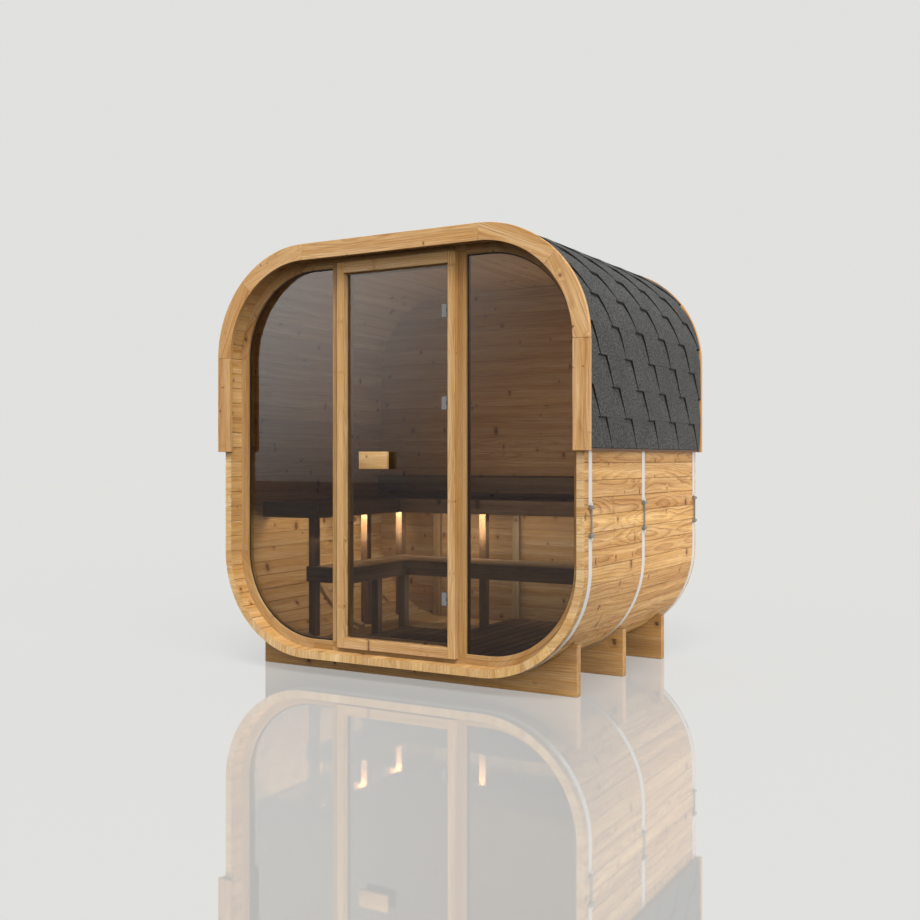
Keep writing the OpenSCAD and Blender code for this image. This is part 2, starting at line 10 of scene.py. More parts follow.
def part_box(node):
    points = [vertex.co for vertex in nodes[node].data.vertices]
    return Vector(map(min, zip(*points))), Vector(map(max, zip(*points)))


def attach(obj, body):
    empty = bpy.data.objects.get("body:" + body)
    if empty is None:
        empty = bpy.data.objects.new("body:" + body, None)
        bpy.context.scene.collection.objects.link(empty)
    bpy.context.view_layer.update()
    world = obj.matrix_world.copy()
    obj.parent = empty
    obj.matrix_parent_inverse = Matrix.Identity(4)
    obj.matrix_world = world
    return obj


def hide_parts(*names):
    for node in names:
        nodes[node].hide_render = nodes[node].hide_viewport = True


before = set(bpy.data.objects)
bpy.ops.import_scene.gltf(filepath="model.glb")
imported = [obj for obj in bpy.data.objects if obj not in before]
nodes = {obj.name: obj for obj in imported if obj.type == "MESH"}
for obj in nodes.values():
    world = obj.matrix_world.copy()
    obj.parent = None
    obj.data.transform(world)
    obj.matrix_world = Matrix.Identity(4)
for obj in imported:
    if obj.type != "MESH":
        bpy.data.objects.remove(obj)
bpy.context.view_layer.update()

# --- Staves ---
# The shell is built of planed spruce staves, 40 mm thick and about 80 mm wide, laid along the
# cabin and pulled together by the steel bands. A tongue on each goes into a groove in the
# next, and their long edges are eased, which leaves a fine line at each joint.
STAVES_IN_FLAT = 13
STAVES_IN_CORNER = 10
STAVE_STEPS = 3
STAVE_EASE = 0.0022
STAVE_GAP = 0.0013
TONGUE_T = 0.008
CORNER_TONGUE = 0.0108
FLAT_TONGUE = 0.0228
GROOVE_IN = 0.012
GROOVE_STOP = 0.004
SHARP_EDGE = math.radians(35)
WELD = 0.00001

# A face counts as square on to a way when the cosine of the angle between them is over this
SQUARE_ON = 0.99


def deselect_all():
    bpy.ops.object.select_all(action="DESELECT")


def make_active(piece):
    deselect_all()
    piece.select_set(True)
    bpy.context.view_layer.objects.active = piece


def edit_whole(piece):
    """Opens a piece in edit mode with all of it selected."""
    make_active(piece)
    bpy.ops.object.mode_set(mode="EDIT")
    bpy.ops.mesh.select_all(action="SELECT")


def close_edit():
    bpy.ops.mesh.select_mode(type="VERT")
    bpy.ops.object.mode_set(mode="OBJECT")


def close_welded():
    """Joins doubled corners, turns all faces outwards and leaves edit mode."""
    bpy.ops.mesh.select_all(action="SELECT")
    bpy.ops.mesh.remove_doubles(threshold=WELD)
    bpy.ops.mesh.normals_make_consistent(inside=False)
    close_edit()


def about(centre, turn):
    """A turn or a mirroring that leaves one point where it is."""
    return Matrix.Translation(centre) @ turn @ Matrix.Translation(-centre)


def block(name, low, high):
    """A sawn block between two corners."""
    deselect_all()
    low, high = Vector(low), Vector(high)
    bpy.ops.mesh.primitive_cube_add(size=1, location=(low + high) / 2)
    piece = bpy.context.object
    piece.name = name
    piece.scale = high - low
    bpy.ops.object.transform_apply(location=True, rotation=False, scale=True)
    return piece


def flat_sheet(name, low, high, z):
    """A flat face between two corners, to be bent or drawn out into a piece."""
    deselect_all()
    middle = ((low[0] + high[0]) / 2, (low[1] + high[1]) / 2, z)
    bpy.ops.mesh.primitive_plane_add(size=1, location=middle)
    piece = bpy.context.object
    piece.name = name
    piece.scale = (high[0] - low[0], high[1] - low[1], 1)
    bpy.ops.object.transform_apply(location=True, rotation=False, scale=True)
    return piece


def ease_edges(piece, width, segments=1):
    """Planes a small chamfer along every sharp edge."""
    make_active(piece)
    bevel = piece.modifiers.new("ease", "BEVEL")
    bevel.width = width
    bevel.segments = segments
    bevel.limit_method = "ANGLE"
    bevel.angle_limit = SHARP_EDGE
    bpy.ops.object.modifier_apply(modifier=bevel.name)


def ease_long_edges(piece, width):
    """Planes a chamfer along the sharp edges that run from front to back."""
    edit_whole(piece)
    bpy.ops.mesh.select_mode(type="EDGE")
    bpy.ops.mesh.select_all(action="DESELECT")
    shape = bmesh.from_edit_mesh(piece.data)
    for edge in shape.edges:
        run = (edge.verts[0].co - edge.verts[1].co).normalized()
        edge.select = abs(run.y) > SQUARE_ON and edge.calc_face_angle() > SHARP_EDGE
    bmesh.update_edit_mesh(piece.data)
    bpy.ops.mesh.bevel(offset=width, segments=1, affect="EDGES")
    close_edit()


def pick_faces(piece, picked):
    """Opens a piece in edit mode with only those faces selected that a test picks."""
    edit_whole(piece)
    bpy.ops.mesh.select_all(action="DESELECT")
    bpy.ops.object.mode_set(mode="OBJECT")
    for face in piece.data.polygons:
        face.select = picked(face)
    bpy.ops.object.mode_set(mode="EDIT")
    bpy.ops.mesh.select_mode(type="FACE")


def push_faces(piece, picked, by):
    """Extrudes the faces that a test picks."""
    pick_faces(piece, picked)
    bpy.ops.mesh.extrude_region_move(TRANSFORM_OT_translate={"value": by})
    close_edit()


def cut_plane(piece, point, normal, clear=False):
    """Cuts all round a piece at a plane, and closes it again where one side is cleared."""
    edit_whole(piece)
    bpy.ops.mesh.bisect(plane_co=point, plane_no=normal, use_fill=clear, clear_outer=clear)
    bpy.ops.mesh.select_all(action="DESELECT")
    close_edit()


def duplicate(piece, name, matrix=Matrix.Identity(4)):
    """A copy with its own mesh, moved by a matrix."""
    copy = piece.copy()
    copy.data = piece.data.copy()
    copy.name = name
    copy.data.transform(matrix)
    if matrix.determinant() < 0:
        copy.data.flip_normals()
    bpy.context.collection.objects.link(copy)
    return copy


def join(pieces, name):
    make_active(pieces[0])
    for piece in pieces:
        piece.select_set(True)
    if len(pieces) > 1:
        bpy.ops.object.join()
    joined = bpy.context.view_layer.objects.active
    joined.name = joined.data.name = name
    return joined


def smooth_curves(degrees):
    """Shades the faces that meet at less than an angle as one curve, on the active piece."""
    bpy.ops.object.shade_smooth_by_angle(angle=math.radians(degrees))


def islands(mesh):
    """The vertex numbers of each loose board of a mesh."""
    root = list(range(len(mesh.vertices)))

    def find(i):
        while root[i] != i:
            root[i] = root[root[i]]
            i = root[i]
        return i

    for edge in mesh.edges:
        a, b = find(edge.vertices[0]), find(edge.vertices[1])
        if a != b:
            root[b] = a
    boards = {}
    for i in range(len(root)):
        boards.setdefault(find(i), []).append(i)
    return [boards[k] for k in sorted(boards)]


def lay_grain(piece, seed, along=None):
    """Gives each board its own number, and a grain along its length, an axis or its chord."""
    mesh = piece.data
    draw = random.Random(seed)
    points = np.zeros(len(mesh.vertices) * 3)
    mesh.vertices.foreach_get("co", points)
    points = points.reshape(-1, 3)
    grain = np.zeros_like(points)
    board = np.zeros(len(points))
    for ids in islands(mesh):
        own = points[ids]
        if along == "chord":
            middle = own.mean(0)
            reach = own - middle
            axes = np.linalg.eigh(reach.T @ reach)[1][:, ::-1].T
        else:
            middle = (own.min(0) + own.max(0)) / 2
            order = list(np.argsort(own.min(0) - own.max(0)))
            if along is not None:
                order = [along] + [axis for axis in order if axis != along]
            axes = np.eye(3)[order]
        end_for_end = draw.choice((-1, 1))
        grain[ids] = (own - middle) @ axes.T * (end_for_end, 1, 1)
        board[ids] = draw.random()
    laid = mesh.attributes.new("grain", "FLOAT_VECTOR", "POINT")
    laid.data.foreach_set("vector", grain.astype(np.float32).ravel())
    numbered = mesh.attributes.new("board", "FLOAT", "POINT")
    numbered.data.foreach_set("value", board.astype(np.float32))


class Nodes:
    """Shorthand for laying out shader nodes."""

    def __init__(self, tree):
        self.tree = tree

    def feed(self, node, inputs):
        """Links or sets a node's inputs."""
        for key, value in inputs.items():
            if hasattr(value, "is_output"):
                self.tree.links.new(value, node.inputs[key])
            elif value is not None:
                node.inputs[key].default_value = value

    def add(self, kind, inputs=None, **settings):
        family = "" if kind.startswith("NodeGroup") else "ShaderNode"
        node = self.tree.nodes.new(family + kind)
        for key, value in settings.items():
            setattr(node, key, value)
        self.feed(node, inputs or {})
        return node

    def math(self, operation, a, b=0.0, c=0.0, clamp=False):
        return self.add("Math", {0: a, 1: b, 2: c}, operation=operation,
                        use_clamp=clamp).outputs[0]

    def plus(self, a, b):
        return self.math("ADD", a, b)

    def times(self, a, b, clamp=False):
        return self.math("MULTIPLY", a, b, clamp=clamp)

    def line(self, value, slope, start):
        return self.math("MULTIPLY_ADD", value, slope, start)

    def vector(self, x=0.0, y=0.0, z=0.0):
        return self.add("CombineXYZ", {0: x, 1: y, 2: z}).outputs[0]

    def vmath(self, operation, a, b=None, scale=None):
        inputs = {0: a, 1: b}
        if scale is not None:
            inputs["Scale"] = scale
        node = self.add("VectorMath", inputs, operation=operation)
        return node.outputs["Value" if operation in ("LENGTH", "DOT_PRODUCT") else "Vector"]

    def split(self, vector):
        return self.add("SeparateXYZ", {0: vector}).outputs

    def split_colour(self, colour):
        return self.add("SeparateColor", {0: colour}).outputs

    def place(self):
        return self.add("TexCoord").outputs["Object"]

    def noise(self, vector, scale, detail=2.0, roughness=0.5, out=0):
        return self.add("TexNoise", {"Vector": vector, "Scale": scale, "Detail": detail,
                                     "Roughness": roughness}).outputs[out]

    def between(self, value, low, high, to_low=0.0, to_high=1.0):
        return self.add("MapRange", {0: value, 1: low, 2: high, 3: to_low,
                                     4: to_high}).outputs[0]

    def ramp(self, factor, stops):
        node = self.add("ValToRGB", {0: factor})
        elements = node.color_ramp.elements
        while len(elements) < len(stops):
            elements.new(0.5)
        for element, (position, tone) in zip(elements, stops):
            element.position = position
            element.color = (tone, tone, tone, 1)
        return node.outputs[0]

    def mix(self, factor, a, b):
        """Mixes two colours; the node has three sockets of each name, so theirs are numbered."""
        return self.add("Mix", {0: factor, 6: a, 7: b}, data_type="RGBA").outputs[2]

    def bump(self, height, distance, strength):
        return self.add("Bump", {"Height": height, "Distance": distance,
                                 "Strength": strength}).outputs[0]


def new_finish(name):
    """A new material, the shorthand for its nodes, and its shader."""
    material = bpy.data.materials.new(name)
    material.use_nodes = True
    return material, Nodes(material.node_tree), material.node_tree.nodes["Principled BSDF"]


def sawn_spruce_group():
    """Sawn softwood: growth rings round a pith under the board, knots and fine fibres."""
    tree = bpy.data.node_groups.new("sawn_spruce", "ShaderNodeTree")
    for name, kind, value in (("Grain", "Vector", None), ("Board", "Float", None),
                              ("Pale", "Color", (0.6, 0.4, 0.2, 1)),
                              ("Deep", "Color", (0.4, 0.2, 0.1, 1)),
                              ("Knot", "Color", (0.1, 0.05, 0.02, 1)),
                              ("Ring Width", "Float", 0.006), ("Contrast", "Float", 0.8),
                              ("Knots", "Float", 0.5), ("Knot Size", "Float", 1.0),
                              ("Tone Spread", "Float", 0.16)):
        entry = tree.interface.new_socket(name, in_out="INPUT", socket_type="NodeSocket" + kind)
        if value is not None:
            entry.default_value = value
    for name, kind in (("Color", "Color"), ("Height", "Float"), ("Roughness", "Float")):
        tree.interface.new_socket(name, in_out="OUTPUT", socket_type="NodeSocket" + kind)
    n = Nodes(tree)
    given = n.add("NodeGroupInput").outputs
    grain = given["Grain"]
    place = n.split(grain)
    draw = n.add("TexWhiteNoise", {"W": n.times(given["Board"], 91.7)},
                 noise_dimensions="1D").outputs["Color"]
    chance = n.split_colour(draw)
    shift = n.vmath("SCALE", draw, scale=40.0)

    def stretched(x, y, z):
        return n.vmath("ADD", n.vmath("MULTIPLY", grain, (x, y, z)), shift)

    # Knots: one point in each cell along the board, some of them empty
    cell_l, cell_w, cell_t = 0.30, 0.085, 0.4
    in_cells = stretched(1 / cell_l, 1 / cell_w, 1 / cell_t)
    cells = n.add("TexVoronoi", {"Vector": in_cells, "Scale": 1.0}).outputs
    lot = n.split_colour(cells["Color"])
    off = n.split(n.vmath("SUBTRACT", in_cells, cells["Position"]))
    away = n.vector(n.times(off[0], cell_l), n.times(off[1], n.line(lot[2], 0.055, 0.030)))
    size = n.line(n.times(lot[0], lot[0]), 0.0100, 0.0045)
    size = n.times(size, given["Knot Size"])
    there = n.math("LESS_THAN", lot[1], given["Knots"])
    ragged = n.noise(stretched(60, 90, 60), 1.0, 1.0)
    distance = n.math("DIVIDE", n.vmath("LENGTH", away), size)
    distance = n.plus(distance, n.line(ragged, 0.7, -0.35))
    knot = n.times(n.between(distance, 1.25, 0.8), there)
    rim = n.times(n.between(distance, 3.2, 1.0), there)
    fading = n.math("EXPONENT", n.times(n.times(distance, distance), -0.09))
    swirl = n.times(fading, n.times(there, size))

    # Growth rings round a pith that wanders under the face of the board
    board_start = n.times(given["Board"], 900.0)
    wander = n.noise(n.vector(n.line(place[0], 1.1, board_start)), 1.0, 1.0, out=1)
    sway = n.split_colour(wander)
    side = n.plus(n.line(chance[0], 0.18, -0.09), n.line(sway[0], 0.07, -0.035))
    tilt = n.times(place[0], n.line(chance[2], 0.03, -0.015))
    depth = n.plus(n.line(chance[1], 0.050, 0.035), n.plus(n.line(sway[1], 0.08, -0.04), tilt))
    waver = n.line(n.noise(stretched(2.5, 24, 24), 1.0, 2.0), 0.012, -0.006)
    radius = n.vmath("LENGTH", n.vector(n.math("SUBTRACT", place[1], side),
                                        n.plus(place[2], depth)))
    radius = n.plus(n.plus(radius, waver), n.times(swirl, 1.6))
    ring = n.math("FRACT", n.math("DIVIDE", radius, given["Ring Width"]))
    late = n.ramp(ring, [(0.0, 0.0), (0.45, 0.10), (0.76, 0.65), (0.90, 1.0), (1.0, 0.0)])
    patchy = n.between(n.noise(stretched(0.9, 16, 16), 1.0, 2.0), 0.32, 0.66, 0.30, 1.0)
    late = n.times(n.times(late, patchy), given["Contrast"], clamp=True)

    # Fine fibres, broader streaks and drying checks, all drawn out along the grain
    fibres = n.noise(stretched(7, 170, 170), 1.0, 3.0, 0.65)
    streaks = n.between(n.noise(stretched(0.7, 24, 24), 1.0, 3.0), 0.36, 0.66)
    checks = n.between(n.noise(stretched(2.4, 230, 230), 1.0, 2.0), 0.59, 0.69, 0.0, 0.6)
    drift = n.between(n.noise(stretched(1.3, 34, 34), 1.0, 3.0), 0.32, 0.68)

    wood = given["Pale"]
    for mask, tone in ((n.times(streaks, 0.45), "Deep"), (late, "Deep"), (checks, "Deep"),
                       (n.times(rim, 0.55), "Deep"), (n.times(knot, 0.88), "Knot")):
        wood = n.mix(mask, wood, given[tone])

    # Each board has its own depth of tone, and a darker place is also a redder one
    lowest = n.math("SUBTRACT", 1.0, n.times(given["Tone Spread"], 0.5))
    tone = n.line(chance[2], given["Tone Spread"], lowest)
    tone = n.times(tone, n.between(fibres, 0.30, 0.70, 0.81, 1.17))
    wood = n.vmath("MULTIPLY", wood, n.vector(*(n.math("POWER", tone, power)
                                                for power in (0.85, 1.25, 1.8))))
    wood = n.vmath("MULTIPLY", wood, n.vector(*(n.line(drift, slope, start) for slope, start in (
        (-0.04, 1.02), (-0.16, 1.07), (-0.56, 1.26)))))
    height = n.plus(n.times(late, 0.5), n.times(fibres, 0.5))
    rough = n.plus(0.50, n.times(late, 0.10))
    n.add("NodeGroupOutput", {"Color": wood, "Height": height, "Roughness": rough})
    return tree


SAWN_SPRUCE = sawn_spruce_group()
WOOD_BOUNCE = 0.35
WOOD_GLOSS = 0.4


def wood_finish(name, pale, deep, knot, ring=0.006, contrast=0.8, knots=0.5, spread=0.16,
                knot_size=1.0, end_grain=False):
    """A sawn wood material: its colours, ring width and knots, on the board's own grain."""
    material, n, shader = new_finish(name)
    grain = n.add("Attribute", attribute_name="grain").outputs["Vector"]
    if end_grain:
        way = n.split(grain)
        grain = n.vector(way[2], way[1], way[0])
    board = n.add("Attribute", attribute_name="board").outputs["Fac"]
    sawn = n.add("Group", {
        "Grain": grain, "Board": board, "Pale": (*pale, 1), "Deep": (*deep, 1),
        "Knot": (*knot, 1), "Ring Width": ring, "Contrast": contrast, "Knots": knots,
        "Knot Size": knot_size, "Tone Spread": spread}, node_tree=SAWN_SPRUCE).outputs
    bounced = n.add("LightPath").outputs["Is Diffuse Ray"]
    dimmed = n.line(bounced, WOOD_BOUNCE - 1, 1)
    n.feed(shader, {"Base Color": n.vmath("SCALE", sawn["Color"], scale=dimmed),
                    "Roughness": sawn["Roughness"], "Specular IOR Level": WOOD_GLOSS,
                    "Normal": n.bump(sawn["Height"], 0.0004, 0.6)})
    return material


def finish_piece(piece, material, slot, body, *replaced):
    """Gives a finished piece its material and its body; the slot is not used."""
    piece.data.materials.clear()
    piece.data.materials.append(material)
    if replaced:
        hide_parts(*replaced)
    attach(piece, body)


stave_wood = wood_finish("stave_spruce", (0.87, 0.538, 0.207), (0.37, 0.145, 0.036),
                         (0.110, 0.035, 0.012), ring=0.0080, contrast=1.0, knots=0.46,
                         spread=0.42)
stave_inside = wood_finish("stave_inside", (0.82, 0.505, 0.205), (0.45, 0.190, 0.055),
                           (0.140, 0.045, 0.015), ring=0.0080, contrast=0.45, knots=0.42,
                           spread=0.24)
stave_end = wood_finish("stave_ends", (0.92, 0.635, 0.310), (0.60, 0.31, 0.108),
                        (0.24, 0.09, 0.03), ring=0.0050, contrast=0.8, knots=0.20,
                        spread=0.24, knot_size=0.5, end_grain=True)
CABIN_MID_Z = (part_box("floor_shell")[0].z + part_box("ceiling_shell")[1].z) / 2
INNER_FACE = -0.3


def finish_shell(shell, node, seed):
    """Finishes a side of staves: calmer inner faces, and paler end grain on the sawn ends."""
    lay_grain(shell, seed, along=1)
    finish_piece(shell, stave_wood, "stave_wood", "cabin", node)
    shell.data.materials.append(stave_inside)
    shell.data.materials.append(stave_end)
    for face in shell.data.polygons:
        outwards = Vector((face.center.x, 0, face.center.z - CABIN_MID_Z))
        if abs(face.normal.y) > SQUARE_ON:
            face.material_index = 2
        elif face.normal.dot(outwards) < INNER_FACE:
            face.material_index = 1


# The cut at each groove stop leaves small faces on the edge, which stay as they are
LONG_FACE = 0.001

# Each flat side, the node that it dresses, and the way that its tongues point. The tongues of
# a flat side are the longer ones, and end unseen in the wood behind the next one's groove.
FLAT_SIDES = {"staves_floor": ("floor_shell", 1), "staves_ceiling": ("ceiling_shell", -1),
              "staves_wall_left": ("wall_left", -1), "staves_wall_right": ("wall_right", 1)}
for number, (name, (node, ahead)) in enumerate(FLAT_SIDES.items()):
    low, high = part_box(node)
    across = 0 if high.x - low.x > high.z - low.z else 2
    through = 2 - across
    width = (high[across] - low[across]) / STAVES_IN_FLAT
    first_low, first_high = low.copy(), high.copy()
    first_low[across] = low[across] + STAVE_GAP / 2
    first_high[across] = low[across] + width - STAVE_GAP / 2
    stave = block(name, first_low, first_high)
    ease_long_edges(stave, STAVE_EASE)
    middle = (low + high) / 2
    normal = Vector((0, 0, 0))
    normal[through] = 1
    for side in (-1, 1):
        cut_plane(stave, middle + normal * side * TONGUE_T / 2, normal)
        cut_plane(stave, (0, side * (high.y - GROOVE_STOP), 0), (0, 1, 0))
    over = Vector((0, 0, 0))
    for side, push in ((ahead, FLAT_TONGUE), (-ahead, GROOVE_IN)):
        over[across] = ahead * push
        push_faces(stave, lambda f: f.normal[across] * side > SQUARE_ON and
                   abs(f.center[through] - middle[through]) < TONGUE_T / 2 and
                   f.area > LONG_FACE, over)
    step = Vector((0, 0, 0))
    staves = [stave]
    for k in range(1, STAVES_IN_FLAT):
        step[across] = k * width
        staves.append(duplicate(stave, name, Matrix.Translation(step)))
    finish_shell(join(staves, name), node, 10 + number)

# Each corner, the node that it dresses, and where its quarter turn starts, in degrees
CORNERS = {"staves_lower_left": ("corner_lower_left", 180),
           "staves_lower_right": ("corner_lower_right", 270),
           "staves_upper_left": ("corner_upper_left", 90),
           "staves_upper_right": ("corner_upper_right", 0)}
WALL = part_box("wall_left")[1].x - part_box("wall_left")[0].x
for number, (name, (node, start)) in enumerate(CORNERS.items()):
    low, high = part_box(node)
    radius = high.x - low.x
    mid_r = radius - WALL / 2
    centre = Vector((low.x if start in (0, 270) else high.x, 0,
                     low.z if start in (0, 90) else high.z))
    sweep = math.radians(90 / STAVES_IN_CORNER)
    slack = STAVE_GAP / 2 / radius
    stave = flat_sheet(name, (centre.x + radius - WALL, low.y), (centre.x + radius, high.y),
                       centre.z)
    stave.data.transform(about(centre, Matrix.Rotation(-slack, 4, "Y")))
    edit_whole(stave)
    bpy.ops.mesh.spin(steps=STAVE_STEPS, angle=sweep - 2 * slack, center=centre, axis=(0, 1, 0))
    close_welded()
    ease_long_edges(stave, STAVE_EASE)
    for side in (-1, 1):
        cut_plane(stave, (0, side * (high.y - GROOVE_STOP), 0), (0, 1, 0))
    for turn, push in ((slack, GROOVE_IN), (sweep - slack, CORNER_TONGUE)):
        out = Vector((math.cos(turn), 0, math.sin(turn)))
        on = Vector((-math.sin(turn), 0, math.cos(turn)))
        for side in (-1, 1):
            cut_plane(stave, centre + out * (mid_r + side * TONGUE_T / 2), out)
        push_faces(stave, lambda f: abs(f.normal.dot(on)) > SQUARE_ON and
                   abs((f.center - centre).dot(out) - mid_r) < TONGUE_T / 2 and
                   abs((f.center - centre).dot(on)) < TONGUE_T / 2 and f.area > LONG_FACE,
                   on * push)
    staves = []
    for k in range(STAVES_IN_CORNER):
        turn = -math.radians(start) - k * sweep
        staves.append(duplicate(stave, name, about(centre, Matrix.Rotation(turn, 4, "Y"))))
    bpy.data.objects.remove(stave)
    finish_shell(join(staves, name), node, 20 + number)
    smooth_curves(12)

# --- Back wall ---
# Flat spruce boards, 44 mm thick and 95 mm wide, laid one on the other and cut to the
# rounded outline of the shell. They stand inside the staves, with their edges eased.
BACK_BOARD = 0.095
BACK_EASE = 0.0022
CAD_WELD = 0.00002
FLAT_WITHIN = math.radians(0.5)
back_wood = wood_finish("wall_spruce", (0.74, 0.440, 0.190), (0.40, 0.165, 0.055),
                        (0.140, 0.050, 0.018), ring=0.0065, contrast=0.6, knots=0.45,
                        spread=0.22, knot_size=0.7)


def whole_faces(node, name):
    """A copy of a CAD node with its triangles joined back into whole faces."""
    piece = duplicate(nodes[node], name)
    piece.parent = None
    piece.data.name = name
    for key in list(piece.keys()):
        del piece[key]
    edit_whole(piece)
    bpy.ops.mesh.remove_doubles(threshold=CAD_WELD)
    bpy.ops.mesh.customdata_custom_splitnormals_clear()
    bpy.ops.mesh.dissolve_limited(angle_limit=FLAT_WITHIN)
    close_edit()
    return piece


uncut = whole_faces("back_wall", "back_wall_uncut")
low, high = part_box("back_wall")
boards = []
for row in range(math.ceil((high.z - low.z) / BACK_BOARD)):
    foot = low.z + row * BACK_BOARD
    board = duplicate(uncut, "back_board")
    for z, up in ((foot, -1), (foot + BACK_BOARD, 1)):
        if low.z < z < high.z:
            cut_plane(board, (0, 0, z), (0, 0, up), clear=True)
    ease_edges(board, BACK_EASE)
    boards.append(board)
bpy.data.objects.remove(uncut)
back_wall = join(boards, "back_wall_boards")
lay_grain(back_wall, 31, along=0)
finish_piece(back_wall, back_wood, "stave_wood", "cabin", "back_wall")

# --- Cradles ---
# Three 44 mm planks on edge, sawn to the curve of the underside, that carry the cabin clear
# of the ground. Plain oiled spruce, a little darker than the staves.
CRADLE_EASE = 0.002
cradle_wood = wood_finish("cradle_spruce", (0.73, 0.435, 0.183), (0.38, 0.17, 0.052),
                          (0.07, 0.03, 0.013), ring=0.0105, contrast=0.9, knots=0.50)


def dress_boards(node, name, ease, seed, wood, slot, body="cabin", along=None, segments=1):
    """Finishes a CAD node as it is: eased edges, the grain of its boards, and its wood."""
    piece = whole_faces(node, name)
    ease_edges(piece, ease, segments)
    lay_grain(piece, seed, along)
    finish_piece(piece, wood, slot, body, node)


for number, place in enumerate(("front", "middle", "back")):
    dress_boards("cradle_" + place, "cradle_plank_" + place, CRADLE_EASE, 40 + number,
                 cradle_wood, "cradle_wood", along=0)

# --- Steel bands ---
# Stainless bands round the staves, 38 mm wide, pulled tight by a threaded rod between two
# barrels on each side. Fine lines run along the band from rolling, and the barrels are dull.
TENSIONER_Z = (0.766, 0.916)


def steel_finish(name, tone, rough, lines_run, metal=1.0, fittings=None):
    """Rolled or brushed steel with fine lines, and a darker colour where its fittings sit."""
    material, n, shader = new_finish(name)
    place = n.place()
    lines = n.noise(n.vmath("MULTIPLY", place, lines_run), 14.0, 3.0, 0.6)
    cloud = n.noise(place, 9.0, 3.0)
    dull = tuple(c * 0.84 for c in tone)
    colour = n.mix(n.between(lines, 0.3, 0.7), (*dull, 1), (*tone, 1))
    if fittings:
        fitting_tone, axis, (start, end) = fittings
        way = n.split(place)[axis]
        fitting = n.times(n.math("GREATER_THAN", way, start), n.math("LESS_THAN", way, end))
        colour = n.mix(fitting, colour, (*fitting_tone, 1))
    roughness = n.plus(n.between(cloud, 0.3, 0.7, rough - 0.06, rough + 0.06),
                       n.times(lines, 0.08))
    n.feed(shader, {"Metallic": metal, "Base Color": colour, "Roughness": roughness,
                    "Normal": n.bump(lines, 0.0001, 0.4)})
    return material


def coat(node, material):
    """Gives a CAD node's own mesh a material."""
    for slot in nodes[node].material_slots:
        slot.material = material


band_steel = steel_finish("band_steel_rolled", (0.92, 0.91, 0.90), 0.40, (300, 300, 1.0),
                          metal=0.5, fittings=((0.30, 0.30, 0.29), 2, TENSIONER_Z))
for place in ("front", "middle", "back"):
    coat("strap_" + place, band_steel)

# --- Roof ---
# Thin boarding bent over the staves, covered with bitumen shingles with dark grey mineral
# granules. The tabs have slanted ends and lie half a tab over from course to course. Each
# one dips at its upper right under the next course; ridge tabs cover the middle of the top.
COURSE = 0.1435
TAB = 0.322
SLANT = 0.080
SHEET_T = 0.003
FIRST_TAB = -0.525
LEAST_TAB = 0.002
DRIP = 0.004
TAB_FOOT = 0.0215
TAB_RISE = 0.0100
TOP_RISE = 0.0085
RISE_SPREAD = 0.07
FIRST_COURSE_RISE = 0.2
CORNER_RISE = 0.0025
CORNER_TO = 0.35
DIP_FROM = 2 / 3
DIP_TO = 3 / 4
SHADED_EDGE_SLOPE = 0.010
TAB_ROWS = 6
TAB_COLUMNS = 12
ROOF_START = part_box("roof_right")[0].z
ROOF_Y0, ROOF_Y1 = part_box("roof_right")[0].y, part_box("roof_right")[1].y
SIDE_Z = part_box("wall_right")[1].z
FLAT_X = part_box("ceiling_shell")[1].x
SHELL_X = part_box("wall_right")[1].x
SHELL_R = SHELL_X - FLAT_X
BEND_R = SHELL_R + TAB_FOOT
SIDE_LEN = SIDE_Z - ROOF_START
ARC_LEN = BEND_R * math.pi / 2
HALF_ROOF = SIDE_LEN + ARC_LEN + FLAT_X


def over_roof(way, height, side):
    """The place on the roof at a way up from the eaves and a height over the staves."""
    if way < SIDE_LEN:
        return side * (SHELL_X + height), ROOF_START + way
    turned = (way - SIDE_LEN) / BEND_R
    if turned < math.pi / 2:
        reach = SHELL_R + height
        return side * (FLAT_X + reach * math.cos(turned)), SIDE_Z + reach * math.sin(turned)
    rest = (turned - math.pi / 2) * BEND_R
    return side * (FLAT_X - rest), SIDE_Z + SHELL_R + height


def off_staves(x, z):
    """The way straight out of the roof at a place, and how far that is from the staves."""
    side = 1 if x > 0 else -1
    if z <= SIDE_Z:
        return Vector((side, 0, 0)), abs(x) - SHELL_X
    if abs(x) <= FLAT_X + WELD:
        return Vector((0, 0, 1)), z - SIDE_Z - SHELL_R
    out = Vector((x - side * FLAT_X, 0, z - SIDE_Z))
    return out.normalized(), out.length - SHELL_R


def shingle_tab(way0, way1, y_left, rise, first):
    """One tab, laid flat: a slanted plate with a dipped and a raised corner."""
    deselect_all()
    bpy.ops.mesh.primitive_grid_add(x_subdivisions=TAB_ROWS, y_subdivisions=TAB_COLUMNS, size=1)
    piece = bpy.context.object
    edit_whole(piece)
    bpy.ops.mesh.extrude_region_move(TRANSFORM_OT_translate={"value": (0, 0, 1)})
    bpy.ops.mesh.select_all(action="SELECT")
    bpy.ops.mesh.normals_make_consistent(inside=False)
    close_edit()
    foot = FIRST_COURSE_RISE if first else 1.0
    for vertex in piece.data.vertices:
        up, across, top = vertex.co.x + 0.5, vertex.co.y + 0.5, vertex.co.z > 0.5
        v = up * (way1 - way0) / COURSE
        left = y_left - SLANT * v
        y = min(max(left + across * TAB, ROOF_Y0), ROOF_Y1)
        u = (y - left) / TAB
        dip = v * min(max(u - DIP_FROM, 0) / (DIP_TO - DIP_FROM), 1)
        lift = rise * (1 - dip) * (foot + (1 - foot) * v)
        lift += CORNER_RISE * (1 - v) * max(1 - u / CORNER_TO, 0)
        # The upper face of each tab is drawn back up the roof, so that its lower edge slopes and
        # its black face shows as a band: painted shade for the shadow under the step.
        way = way0 + v * COURSE + (SHADED_EDGE_SLOPE if top or up > 0 else 0)
        vertex.co = (way, y, TAB_FOOT + lift if top else TAB_FOOT - SHEET_T)
    return piece


